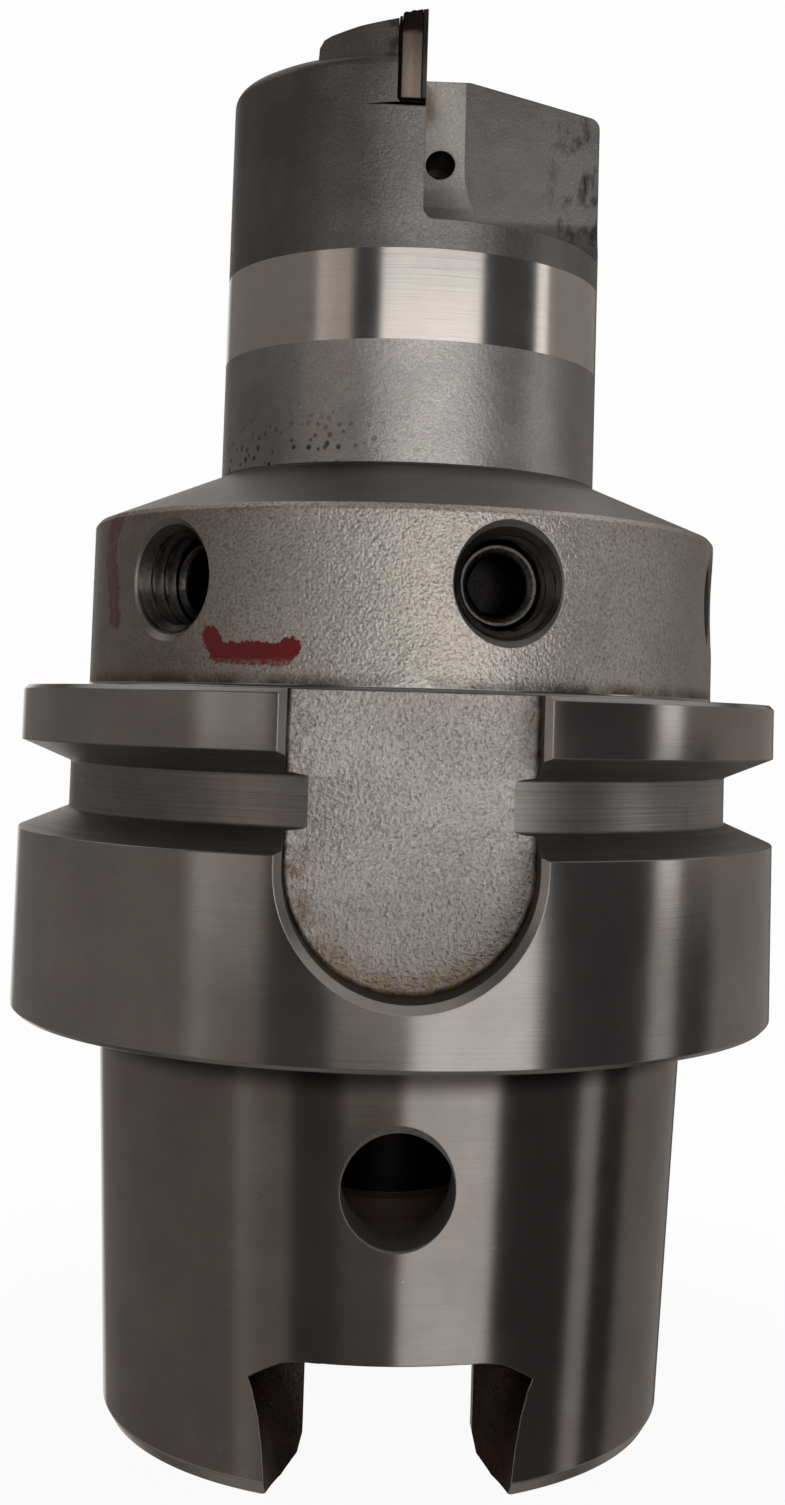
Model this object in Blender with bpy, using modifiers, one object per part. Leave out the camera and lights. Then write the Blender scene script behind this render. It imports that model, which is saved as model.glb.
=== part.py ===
"""Face mill with a brazed two-tooth cutting head on a hollow taper shank, modelled as separate solids.

Frame: metres, +Z along the tool axis towards the cutting teeth. The origin is the centre of the
shank's end face, on which the tool stands. The wide drive slot of the flange faces -Y, and the
front tooth cuts at the -Y side of the head with its rake face looking along +X.

The heights below are measured from the flange face that seats on the spindle nose, as on a tool
drawing. The last step raises everything by the length of the shank.
"""

import math

import bmesh
import bpy
from mathutils import Matrix, Vector

# Driving dimensions, in metres.
MM = 0.001
FINE_STEPS = 48
SMALL_STEPS = 24
BEYOND = 2 * MM  # how far a cutter reaches past the faces it opens

FLANGE_RADIUS = 31.5 * MM
FLANGE_HEIGHT = 26.0 * MM
FLANGE_EDGE = 0.35 * MM
GRIPPER_GROOVE_CENTRE = 18.05 * MM
GRIPPER_GROOVE_RADIUS = 27.5 * MM
GRIPPER_GROOVE_FLAT = 3.75 * MM
GRIPPER_GROOVE_MOUTH = 7.1 * MM

SHANK_LENGTH = 32.0 * MM
SHANK_GAUGE_RADIUS = 24.005 * MM
SHANK_GAUGE_DEPTH = 6.3 * MM
SHANK_TAPER = 0.5 / 9.98
SHANK_END_RADIUS = 22.15 * MM
SHANK_END_EDGE = 1.0 * MM
SHANK_BORE_RADIUS = 17.0 * MM
CLAMPING_UNDERCUT_RADIUS = 18.5 * MM
CLAMPING_SHOULDER = -18.13 * MM
HOLLOW_FLOOR = -3.0 * MM
SHANK_END_SLOT_WIDTH = 12.54 * MM
SHANK_END_SLOT_TOP = -22.4 * MM
SHANK_END_SLOT_FLARE_TOP = -23.9 * MM
SHANK_END_SLOT_FLARE_HALF_WIDTH = 10.1 * MM
CROSS_HOLE_RADIUS = 4.2 * MM
CROSS_HOLE_HEIGHT = -9.7 * MM

DRIVE_SLOT_FLOOR = 26.5 * MM
DRIVE_SLOT_BOTTOM = 4.64 * MM
FRONT_DRIVE_SLOT_WIDTH = 18.0 * MM
REAR_DRIVE_SLOT_WIDTH = 16.0 * MM

COLLAR_RADIUS = 26.25 * MM
COLLAR_TOP = 39.88 * MM
COLLAR_TOP_RADIUS = 25.27 * MM
COLLAR_TOP_EDGE = 0.95 * MM
HEAD_RADIUS = 15.95 * MM
HEAD_BOTTOM = 43.8 * MM
HEAD_RIM = 76.8 * MM
HEAD_RIM_EDGE = 0.9 * MM
HEAD_CENTRE_TOP = 79.4 * MM
HEAD_CENTRE_RADIUS = 4.5 * MM

GULLET_SIDE = 0.35 * MM
GULLET_BACK = -0.5 * MM
GULLET_FLOOR = 63.35 * MM
GULLET_ROUNDING = 11.0 * MM
GULLET_RELIEF_END = 4.1 * MM
GULLET_RELIEF_SLOPE = 0.45
GULLET_RELIEF_FLOOR = 66.0 * MM
COOLANT_OUTLET_RADIUS = 1.15 * MM
COOLANT_OUTLET = (2.1 * MM, 72.5 * MM)
COOLANT_OUTLET_DEPTH = 5.2 * MM
COOLANT_BRANCH_START = 57.0 * MM

TIP_RAKE_PLANE = 0.2 * MM
TIP_BACK = -2.1 * MM
TIP_BOTTOM = 72.9 * MM
TIP_TOP = 80.15 * MM
TIP_TOP_DROP = 0.22 * MM
TIP_OUTER = 16.05 * MM
TIP_INNER = 10.6 * MM
DIAMOND_THICKNESS = 0.5 * MM
BRAZE_THICKNESS = 0.38 * MM
BRAZE_GAP = 0.02 * MM
BRAZE_INNER = 10.7 * MM
BRAZE_OUTER = 15.7 * MM
SEAT_CLEARANCE = 0.3 * MM

LAND_END = -8.5 * MM
LAND_END_RUN = 1.2 * MM
LAND_TOP_AT_TIP = 79.55 * MM
LAND_TOP_AT_END = 78.35 * MM
LAND_RADIUS = 15.6 * MM
LAND_INNER = 9.6 * MM
LAND_ROOT = 74.0 * MM

BALANCE_HEIGHT = 34.1 * MM
BALANCE_FIRST_ANGLE = -45.0
BALANCE_SPACING = 60.0
BALANCE_HOLE_RADIUS = 3.65 * MM
BALANCE_HOLE_END = 11.0 * MM
DRILL_POINT_SLOPE = math.tan(math.radians(30))
BALANCE_SINK_RADIUS = 4.7 * MM
BALANCE_SCREW_RADIUS = 3.55 * MM
BALANCE_SCREW_LENGTH = 8.0 * MM
BALANCE_SCREW_EDGE = 0.55 * MM
BALANCE_SOCKET_FLATS = 4.0 * MM
BALANCE_SOCKET_DEPTH = 4.0 * MM
BALANCE_SCREW_DEPTHS = [3.5 * MM, 2.7 * MM, 3.0 * MM, 4.2 * MM, 2.4 * MM, 3.8 * MM]

NUT_BORE_RADIUS = 6.5 * MM
NUT_RADIUS = 8.42 * MM
NUT_BOTTOM = -3.6 * MM
NUT_TOP = 5.6 * MM
NUT_SLOT_WIDTH = 3.0 * MM
NUT_SLOT_DEPTH = 2.5 * MM
NUT_SEAT_RADIUS = 8.6 * MM
NUT_SEAT_TOP = 6.0 * MM
TUBE_CHAMBER_RADIUS = 7.6 * MM
TUBE_CHAMBER_TOP = 13.0 * MM
TUBE_PIVOT = 8.4 * MM
TUBE_END = -26.0 * MM
TUBE_SEAL_TOP = -14.3 * MM
TUBE_SEAL_RADIUS = 6.0 * MM
TUBE_NECK_RADIUS = 5.6 * MM
TUBE_BORE_RADIUS = 4.0 * MM
TUBE_COLLAR_RADIUS = 7.35 * MM
TUBE_COLLAR_BOTTOM = 7.6 * MM
TUBE_COLLAR_TOP = 12.6 * MM
TUBE_GROOVE_RADIUS = 5.9 * MM
TUBE_GROOVE_BOTTOM = 9.3 * MM
TUBE_GROOVE_TOP = 11.2 * MM
GALLERY_RADIUS = 3.0 * MM
GALLERY_TOP = 59.0 * MM
COLLAR_RING_HEIGHT = 10.25 * MM
COLLAR_RING_RADIUS = 6.72 * MM
COLLAR_RING_THICKNESS = 0.78 * MM
NUT_RING_HEIGHT = 6.6 * MM
NUT_RING_RADIUS = 6.55 * MM
NUT_RING_THICKNESS = 0.8 * MM


def clear_scene():
    for obj in list(bpy.data.objects):
        bpy.data.objects.remove(obj)


def new_collection(name, hidden):
    collection = bpy.data.collections.new(name)
    collection.hide_render = hidden
    bpy.context.scene.collection.children.link(collection)
    return collection


def new_material(name, colour, roughness, metallic):
    material = bpy.data.materials.new(name)
    material.use_nodes = True
    shader = material.node_tree.nodes["Principled BSDF"]
    shader.inputs["Base Color"].default_value = (*colour, 1.0)
    shader.inputs["Roughness"].default_value = roughness
    shader.inputs["Metallic"].default_value = metallic
    return material


def finish_part(obj, material):
    """Puts the object in the parts collection with its material and smooth round sides."""
    for owner in list(obj.users_collection):
        owner.objects.unlink(obj)
    PARTS.objects.link(obj)
    obj.data.materials.clear()
    obj.data.materials.append(material)
    obj.data.shade_smooth()
    obj.data.set_sharp_from_angle(angle=math.radians(30))
    return obj


def finish_cutter(obj):
    for owner in list(obj.users_collection):
        owner.objects.unlink(obj)
    CUTTERS.objects.link(obj)
    obj.hide_render = True
    obj.display_type = "WIRE"
    return obj


def combine(target, other, operation):
    modifier = target.modifiers.new(f"{operation.lower()} {other.name}", "BOOLEAN")
    modifier.operation = operation
    modifier.solver = "EXACT"
    modifier.object = other


def new_object(name, mesh):
    obj = bpy.data.objects.new(name, mesh)
    bpy.context.scene.collection.objects.link(obj)
    return obj


def revolve(name, profile, steps, closed=False):
    """A turned solid: the (radius, height) profile runs down its outer side, and turns about Z."""
    mesh = bpy.data.meshes.new(name)
    edges = [(index, index + 1) for index in range(len(profile) - 1)]
    if closed:
        edges.append((len(profile) - 1, 0))
    mesh.from_pydata([(radius, 0.0, height) for radius, height in profile], edges, [])
    obj = new_object(name, mesh)
    screw = obj.modifiers.new("turn", "SCREW")
    screw.axis = "Z"
    screw.steps = steps
    screw.render_steps = steps
    screw.use_merge_vertices = True
    screw.merge_threshold = 0.000001
    screw.use_smooth_shade = True
    return obj


def prism(name, outline, low, high, direction="Z"):
    """A flat outline extruded from low to high along a world axis.

    Along Z the outline is (x, y); along X it is (y, z); along Y it is (z, x).
    """
    curve = bpy.data.curves.new(name, "CURVE")
    curve.dimensions = "2D"
    curve.fill_mode = "BOTH"
    curve.extrude = (high - low) / 2
    spline = curve.splines.new("POLY")
    spline.points.add(len(outline) - 1)
    for point, (first, second) in zip(spline.points, outline):
        point.co = (first, second, 0.0, 1.0)
    spline.use_cyclic_u = True
    source = new_object(name + "_outline", curve)
    graph = bpy.context.evaluated_depsgraph_get()
    mesh = bpy.data.meshes.new_from_object(source.evaluated_get(graph))
    shift = Matrix.Translation((0.0, 0.0, (low + high) / 2))
    turns = {
        "Z": Matrix.Identity(4),
        "X": Matrix(((0, 0, 1, 0), (1, 0, 0, 0), (0, 1, 0, 0), (0, 0, 0, 1))),
        "Y": Matrix(((0, 1, 0, 0), (0, 0, 1, 0), (1, 0, 0, 0), (0, 0, 0, 1))),
    }
    mesh.transform(turns[direction] @ shift)
    bpy.data.objects.remove(source)
    shape = bmesh.new()
    shape.from_mesh(mesh)
    bmesh.ops.remove_doubles(shape, verts=shape.verts, dist=0.000001)
    bmesh.ops.recalc_face_normals(shape, faces=shape.faces)
    shape.to_mesh(mesh)
    shape.free()
    return new_object(name, mesh)


def rod(name, start, end, radius, end_radius=None, steps=SMALL_STEPS):
    """A cylinder or a cone frustum between two points."""
    shape = bmesh.new()
    line = Vector(end) - Vector(start)
    bmesh.ops.create_cone(
        shape,
        cap_ends=True,
        segments=steps,
        radius1=radius,
        radius2=radius if end_radius is None else end_radius,
        depth=line.length,
    )
    turn = line.to_track_quat("Z", "Y").to_matrix().to_4x4()
    middle = Vector(start) + line / 2
    shape.transform(Matrix.Translation(middle) @ turn)
    mesh = bpy.data.meshes.new(name)
    shape.to_mesh(mesh)
    shape.free()
    return new_object(name, mesh)


def arc(centre, radius, start, end, steps):
    """Points on a circle from the start angle to the end angle, in degrees, ends included."""
    points = []
    for index in range(steps + 1):
        angle = math.radians(start + (end - start) * index / steps)
        points.append((centre[0] + radius * math.cos(angle), centre[1] + radius * math.sin(angle)))
    return points


def turned(obj, degrees):
    """Turns an object about the tool axis. Its mesh is modelled for the -Y side of the tool."""
    obj.rotation_euler.z = math.radians(degrees)
    return obj


def shank_radius(height):
    return SHANK_GAUGE_RADIUS + (height + SHANK_GAUGE_DEPTH) * SHANK_TAPER


def body_profile():
    """The body's half section, from the centre of the cutting end round to the coolant gallery."""
    head = [
        (0.0, HEAD_CENTRE_TOP),
        (HEAD_CENTRE_RADIUS, HEAD_CENTRE_TOP),
        (HEAD_RADIUS - HEAD_RIM_EDGE, HEAD_RIM),
        (HEAD_RADIUS, HEAD_RIM - HEAD_RIM_EDGE),
        (HEAD_RADIUS, HEAD_BOTTOM),
    ]
    collar = [
        (COLLAR_TOP_RADIUS, COLLAR_TOP),
        (COLLAR_RADIUS, COLLAR_TOP - COLLAR_TOP_EDGE),
        (COLLAR_RADIUS, FLANGE_HEIGHT),
    ]
    groove_low = GRIPPER_GROOVE_CENTRE - GRIPPER_GROOVE_FLAT / 2
    groove_high = GRIPPER_GROOVE_CENTRE + GRIPPER_GROOVE_FLAT / 2
    mouth_low = GRIPPER_GROOVE_CENTRE - GRIPPER_GROOVE_MOUTH / 2
    mouth_high = GRIPPER_GROOVE_CENTRE + GRIPPER_GROOVE_MOUTH / 2
    flange = [
        (FLANGE_RADIUS - FLANGE_EDGE, FLANGE_HEIGHT),
        (FLANGE_RADIUS, FLANGE_HEIGHT - FLANGE_EDGE),
        (FLANGE_RADIUS, mouth_high),
        (GRIPPER_GROOVE_RADIUS, groove_high),
        (GRIPPER_GROOVE_RADIUS, groove_low),
        (FLANGE_RADIUS, mouth_low),
        (FLANGE_RADIUS, FLANGE_EDGE),
        (FLANGE_RADIUS - FLANGE_EDGE, 0.0),
    ]
    undercut_width = 0.6 * MM
    undercut_depth = 0.35 * MM
    face_root = shank_radius(0.0)
    shank = [
        (face_root + undercut_width, 0.0),
        (face_root + undercut_width - undercut_depth, undercut_depth),
        (face_root - undercut_depth, undercut_depth),
        (face_root - undercut_width, -undercut_depth),
        (shank_radius(-1.2 * MM), -1.2 * MM),
        (shank_radius(SHANK_END_EDGE - SHANK_LENGTH), SHANK_END_EDGE - SHANK_LENGTH),
        (SHANK_END_RADIUS, -SHANK_LENGTH),
    ]
    bore_edge = 0.6 * MM
    shoulder_length = (CLAMPING_UNDERCUT_RADIUS - SHANK_BORE_RADIUS) * math.tan(math.radians(30))
    floor_corner = 1.0 * MM
    hollow = [
        (SHANK_BORE_RADIUS + bore_edge, -SHANK_LENGTH),
        (SHANK_BORE_RADIUS, bore_edge - SHANK_LENGTH),
        (SHANK_BORE_RADIUS, CLAMPING_SHOULDER - shoulder_length),
        (CLAMPING_UNDERCUT_RADIUS, CLAMPING_SHOULDER),
        (CLAMPING_UNDERCUT_RADIUS, HOLLOW_FLOOR - floor_corner),
        (CLAMPING_UNDERCUT_RADIUS - floor_corner, HOLLOW_FLOOR),
        (NUT_SEAT_RADIUS + floor_corner, HOLLOW_FLOOR),
        (NUT_SEAT_RADIUS, HOLLOW_FLOOR + floor_corner),
        (NUT_SEAT_RADIUS, NUT_SEAT_TOP),
        (TUBE_CHAMBER_RADIUS, NUT_SEAT_TOP),
        (TUBE_CHAMBER_RADIUS, TUBE_CHAMBER_TOP),
        (GALLERY_RADIUS, TUBE_CHAMBER_TOP),
        (GALLERY_RADIUS, GALLERY_TOP),
        (0.0, GALLERY_TOP + GALLERY_RADIUS / 2),
    ]
    return head + collar + flange + shank + hollow


def cut_drive_slot(body, width, degrees):
    """A round-bottomed slot milled through the flange into a flat floor, open at the flange top."""
    centre = DRIVE_SLOT_BOTTOM + width / 2
    above = FLANGE_HEIGHT + BEYOND
    outline = [(above, -width / 2), (above, width / 2)]
    outline += arc((centre, 0.0), width / 2, 90, 270, 16)
    slot = prism("drive_slot_cutter", outline, -FLANGE_RADIUS - BEYOND, -DRIVE_SLOT_FLOOR, "Y")
    combine(body, turned(finish_cutter(slot), degrees), "DIFFERENCE")


def cut_shank_end_slot(body, degrees):
    """A drive slot across one wall of the shank's end, flared towards the outside of the wall."""
    half = SHANK_END_SLOT_WIDTH / 2
    outer = -SHANK_GAUGE_RADIUS - BEYOND
    inner = -SHANK_BORE_RADIUS + BEYOND
    below = -SHANK_LENGTH - BEYOND
    outline = [(-half, inner), (-half, outer), (half, outer), (half, inner)]
    slot = prism("shank_end_slot_cutter", outline, below, SHANK_END_SLOT_TOP)
    combine(body, turned(finish_cutter(slot), degrees), "DIFFERENCE")
    wide = SHANK_END_SLOT_FLARE_HALF_WIDTH
    flare_inner = -17.6 * MM
    flare_outer = -20.0 * MM
    overlap = MM
    flare_outline = [
        (-half + overlap, flare_inner - overlap / 2),
        (-half, flare_inner),
        (-wide, flare_outer),
        (-wide - overlap, outer),
        (wide + overlap, outer),
        (wide, flare_outer),
        (half, flare_inner),
        (half - overlap, flare_inner - overlap / 2),
    ]
    flare = prism("shank_end_flare_cutter", flare_outline, below, SHANK_END_SLOT_FLARE_TOP)
    combine(body, turned(finish_cutter(flare), degrees), "DIFFERENCE")


def cut_cross_hole(body):
    reach = SHANK_GAUGE_RADIUS + BEYOND
    height = CROSS_HOLE_HEIGHT
    hole = rod("cross_hole_cutter", (0, -reach, height), (0, reach, height), CROSS_HOLE_RADIUS)
    combine(body, finish_cutter(hole), "DIFFERENCE")


def cut_balance_hole(body, degrees):
    """A radial threaded hole with a drill point and a 90 degree countersink."""
    sink_end = COLLAR_RADIUS - (BALANCE_SINK_RADIUS - BALANCE_HOLE_RADIUS)
    drill_point = BALANCE_HOLE_END - BALANCE_HOLE_RADIUS * DRILL_POINT_SLOPE
    profile = [
        (0.0, COLLAR_RADIUS + BEYOND),
        (BALANCE_SINK_RADIUS + BEYOND, COLLAR_RADIUS + BEYOND),
        (BALANCE_HOLE_RADIUS, sink_end),
        (BALANCE_HOLE_RADIUS, BALANCE_HOLE_END),
        (0.0, drill_point),
    ]
    hole = revolve("balance_hole_cutter", profile, SMALL_STEPS)
    hole.rotation_euler = (math.radians(90), 0.0, math.radians(degrees))
    hole.location.z = BALANCE_HEIGHT
    combine(body, finish_cutter(hole), "DIFFERENCE")


def cut_gullet(body, degrees):
    """The chip gullet ahead of one tooth: flat floor, large rounding, back wall and side relief."""
    above = TIP_TOP + BEYOND
    outside = -HEAD_RADIUS - BEYOND
    corner = (GULLET_BACK - GULLET_ROUNDING, GULLET_FLOOR + GULLET_ROUNDING)
    outline = [(outside, above), (outside, GULLET_FLOOR)]
    outline += arc(corner, GULLET_ROUNDING, -90, 0, 10)
    outline += [(GULLET_BACK, above)]
    gullet = prism("gullet_cutter", outline, GULLET_SIDE, HEAD_RADIUS + BEYOND, "X")
    combine(body, turned(finish_cutter(gullet), degrees), "DIFFERENCE")
    relief_run = GULLET_RELIEF_END - GULLET_SIDE
    deepest = GULLET_BACK + relief_run * GULLET_RELIEF_SLOPE
    nearest = GULLET_BACK - BEYOND
    far = GULLET_RELIEF_END + BEYOND / GULLET_RELIEF_SLOPE
    relief_outline = [(GULLET_SIDE, nearest), (far, nearest), (GULLET_SIDE, deepest)]
    relief = prism("gullet_relief_cutter", relief_outline, GULLET_RELIEF_FLOOR, above)
    combine(body, turned(finish_cutter(relief), degrees), "DIFFERENCE")


def cut_coolant_branch(body, degrees):
    """Two short drillings that lead from the central gallery to the gullet wall."""
    across, height = COOLANT_OUTLET
    meeting = (across, COOLANT_OUTLET_DEPTH, height)
    radius = COOLANT_OUTLET_RADIUS
    outside = (across, GULLET_BACK - BEYOND, height)
    mouth = rod("coolant_outlet_cutter", outside, meeting, radius, steps=16)
    combine(body, turned(finish_cutter(mouth), degrees), "DIFFERENCE")
    overrun = Vector((0.0, -0.2 * MM, 0.6 * MM))
    start = (0.0, 0.0, COOLANT_BRANCH_START)
    branch = rod("coolant_branch_cutter", start, Vector(meeting) + overrun, radius, steps=16)
    combine(body, turned(finish_cutter(branch), degrees), "DIFFERENCE")


def add_land(body, degrees):
    """The raised land that backs one tooth, its outer side on a circle about the tool axis."""
    outline = [
        (LAND_ROOT, LAND_END),
        (HEAD_RIM, LAND_END),
        (LAND_TOP_AT_END, LAND_END + LAND_END_RUN),
        (LAND_TOP_AT_TIP, TIP_BACK + MM),
        (LAND_ROOT, TIP_BACK + MM),
    ]
    land = prism("land_blank", outline, -HEAD_RADIUS - MM, -LAND_INNER, "Y")
    low = (0.0, 0.0, LAND_ROOT - BEYOND)
    high = (0.0, 0.0, TIP_TOP + BEYOND)
    barrel = rod("land_barrel", low, high, LAND_RADIUS)
    combine(land, turned(finish_cutter(barrel), 0.0), "INTERSECT")
    combine(body, turned(finish_cutter(land), degrees), "UNION")


def cut_tip_seat(body, degrees):
    joint = BRAZE_THICKNESS + 2 * BRAZE_GAP
    front = GULLET_SIDE + BEYOND
    top = TIP_TOP + BEYOND
    outline = [
        (TIP_BOTTOM - joint, front),
        (TIP_BOTTOM - joint, TIP_BACK - joint),
        (top, TIP_BACK - joint),
        (top, front),
    ]
    inner = -TIP_INNER + SEAT_CLEARANCE
    seat = prism("tip_seat_cutter", outline, -TIP_OUTER - BEYOND, inner, "Y")
    combine(body, turned(finish_cutter(seat), degrees), "DIFFERENCE")


def tip_top(across):
    """Height of the tip's sloping top: it falls away behind the cutting edge."""
    behind = (TIP_RAKE_PLANE - across) / (TIP_RAKE_PLANE - TIP_BACK)
    return TIP_TOP - TIP_TOP_DROP * behind


def make_body():
    body = revolve("tool_body", body_profile(), FINE_STEPS)
    for degrees in (0.0, 180.0):
        add_land(body, degrees)
    cut_drive_slot(body, FRONT_DRIVE_SLOT_WIDTH, 0.0)
    cut_drive_slot(body, REAR_DRIVE_SLOT_WIDTH, 180.0)
    cut_cross_hole(body)
    for number in range(len(BALANCE_SCREW_DEPTHS)):
        cut_balance_hole(body, BALANCE_FIRST_ANGLE + BALANCE_SPACING * number)
    for degrees in (0.0, 180.0):
        cut_shank_end_slot(body, degrees)
        cut_gullet(body, degrees)
        cut_tip_seat(body, degrees)
        cut_coolant_branch(body, degrees)
    return finish_part(body, STEEL)


def make_tooth(side, degrees):
    """One tooth: a carbide block with a diamond layer on its rake side, brazed into the body."""
    layer_back = TIP_RAKE_PLANE - DIAMOND_THICKNESS
    block_front = layer_back - BRAZE_GAP
    block = [
        (TIP_BOTTOM, TIP_BACK),
        (tip_top(TIP_BACK), TIP_BACK),
        (tip_top(block_front), block_front),
        (TIP_BOTTOM, block_front),
    ]
    carbide = prism(f"{side}_carbide_tip", block, -TIP_OUTER, -TIP_INNER, "Y")
    finish_part(turned(carbide, degrees), CARBIDE)
    layer = [
        (TIP_BOTTOM, layer_back),
        (tip_top(layer_back), layer_back),
        (TIP_TOP, TIP_RAKE_PLANE),
        (TIP_BOTTOM, TIP_RAKE_PLANE),
    ]
    diamond = prism(f"{side}_diamond_layer", layer, -TIP_OUTER, -TIP_INNER, "Y")
    finish_part(turned(diamond, degrees), DIAMOND)
    bottom = TIP_BOTTOM - BRAZE_GAP
    back = TIP_BACK - BRAZE_GAP
    joint = [
        (bottom - BRAZE_THICKNESS, TIP_RAKE_PLANE),
        (bottom - BRAZE_THICKNESS, back - BRAZE_THICKNESS),
        (LAND_TOP_AT_TIP - MM, back - BRAZE_THICKNESS),
        (LAND_TOP_AT_TIP - MM, back),
        (bottom, back),
        (bottom, TIP_RAKE_PLANE),
    ]
    braze = prism(f"{side}_braze_joint", joint, -BRAZE_OUTER, -BRAZE_INNER, "Y")
    finish_part(turned(braze, degrees), BRAZE)


def make_balance_screw(number, depth):
    """A headless socket screw. It slides along local Z, which points out of its hole."""
    name = f"balance_screw_{number + 1}"
    edge = BALANCE_SCREW_EDGE
    radius = BALANCE_SCREW_RADIUS
    length = BALANCE_SCREW_LENGTH
    profile = [
        (0.0, 0.0),
        (radius - edge, 0.0),
        (radius, -edge),
        (radius, edge - length),
        (radius - edge, -length),
        (0.0, -length),
    ]
    screw = revolve(name, profile, SMALL_STEPS)
    corner_radius = BALANCE_SOCKET_FLATS / 2 / math.cos(math.radians(30))
    bottom = (0.0, 0.0, -BALANCE_SOCKET_DEPTH)
    socket = rod(name + "_socket", bottom, (0.0, 0.0, BEYOND), corner_radius, steps=6)
    combine(screw, finish_cutter(socket), "DIFFERENCE")
    angle = math.radians(BALANCE_FIRST_ANGLE + BALANCE_SPACING * number)
    distance = COLLAR_RADIUS - depth
    place = (distance * math.sin(angle), -distance * math.cos(angle), BALANCE_HEIGHT)
    for obj in (screw, socket):
        obj.rotation_euler = (math.radians(90), 0.0, angle)
        obj.location = place
    finish_part(screw, SCREW_STEEL)


def make_coolant_tube():
    """The tube that carries coolant in from the spindle. It tilts a little about its seals."""
    profile = [
        (TUBE_BORE_RADIUS, TUBE_COLLAR_TOP),
        (TUBE_COLLAR_RADIUS, TUBE_COLLAR_TOP),
        (TUBE_COLLAR_RADIUS, TUBE_GROOVE_TOP),
        (TUBE_GROOVE_RADIUS, TUBE_GROOVE_TOP),
        (TUBE_GROOVE_RADIUS, TUBE_GROOVE_BOTTOM),
        (TUBE_COLLAR_RADIUS, TUBE_GROOVE_BOTTOM),
        (TUBE_COLLAR_RADIUS, TUBE_COLLAR_BOTTOM),
        (TUBE_NECK_RADIUS, TUBE_COLLAR_BOTTOM),
        (TUBE_NECK_RADIUS, TUBE_SEAL_TOP),
        (TUBE_SEAL_RADIUS, TUBE_SEAL_TOP - (TUBE_SEAL_RADIUS - TUBE_NECK_RADIUS)),
        (TUBE_SEAL_RADIUS, TUBE_END + MM),
        (TUBE_SEAL_RADIUS - MM, TUBE_END),
        (TUBE_BORE_RADIUS, TUBE_END),
    ]
    local = [(radius, height - TUBE_PIVOT) for radius, height in profile]
    tube = revolve("coolant_tube", local, 32, closed=True)
    tube.location.z = TUBE_PIVOT
    finish_part(tube, TUBE_STEEL)


def make_union_nut():
    """The ring nut that holds the coolant tube, with four slots for its spanner."""
    edge = 0.5 * MM
    profile = [
        (NUT_BORE_RADIUS, NUT_TOP),
        (NUT_RADIUS - edge, NUT_TOP),
        (NUT_RADIUS, NUT_TOP - edge),
        (NUT_RADIUS, NUT_BOTTOM + edge),
        (NUT_RADIUS - edge, NUT_BOTTOM),
        (NUT_BORE_RADIUS, NUT_BOTTOM),
    ]
    nut = revolve("coolant_union_nut", profile, 32, closed=True)
    half = NUT_SLOT_WIDTH / 2
    outer = -NUT_RADIUS - BEYOND
    outline = [(-half, outer), (half, outer), (half, 0.0), (-half, 0.0)]
    for degrees in (45, 135, 225, 315):
        slot = prism("nut_slot_cutter", outline, NUT_BOTTOM - BEYOND, NUT_BOTTOM + NUT_SLOT_DEPTH)
        combine(nut, turned(finish_cutter(slot), degrees), "DIFFERENCE")
    finish_part(nut, NUT_STEEL)


def make_seal_ring(name, height, radius, thickness):
    bpy.ops.mesh.primitive_torus_add(
        major_radius=radius,
        minor_radius=thickness,
        major_segments=32,
        minor_segments=8,
        location=(0.0, 0.0, height),
    )
    ring = bpy.context.object
    ring.name = name
    finish_part(ring, RUBBER)


def stand_on_shank_end():
    for collection in (PARTS, CUTTERS):
        for obj in collection.objects:
            obj.location.z += SHANK_LENGTH


clear_scene()
PARTS = new_collection("face_mill", hidden=False)
CUTTERS = new_collection("cutters", hidden=True)
STEEL = new_material("steel", (0.33, 0.31, 0.30), 0.38, 1.0)
CARBIDE = new_material("carbide", (0.40, 0.34, 0.29), 0.45, 1.0)
DIAMOND = new_material("diamond", (0.03, 0.03, 0.03), 0.25, 0.0)
BRAZE = new_material("braze", (0.10, 0.08, 0.06), 0.7, 0.6)
SCREW_STEEL = new_material("screw_steel", (0.08, 0.08, 0.08), 0.45, 1.0)
TUBE_STEEL = new_material("tube_steel", (0.30, 0.26, 0.24), 0.35, 1.0)
NUT_STEEL = new_material("nut_steel", (0.12, 0.11, 0.11), 0.5, 1.0)
RUBBER = new_material("rubber", (0.02, 0.02, 0.02), 0.7, 0.0)

make_body()
make_tooth("front", 0.0)
make_tooth("rear", 180.0)
for index, screw_depth in enumerate(BALANCE_SCREW_DEPTHS):
    make_balance_screw(index, screw_depth)
make_coolant_tube()
make_union_nut()
make_seal_ring("tube_collar_seal", COLLAR_RING_HEIGHT, COLLAR_RING_RADIUS, COLLAR_RING_THICKNESS)
make_seal_ring("union_nut_seal", NUT_RING_HEIGHT, NUT_RING_RADIUS, NUT_RING_THICKNESS)
stand_on_shank_end()
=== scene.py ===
"""Looks of the face mill: finely modelled pieces of ground, blasted and pitted metal round the CAD frame."""

import contextlib
import math

import bmesh
import bpy
import numpy as np
from mathutils import Matrix, Vector


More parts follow.
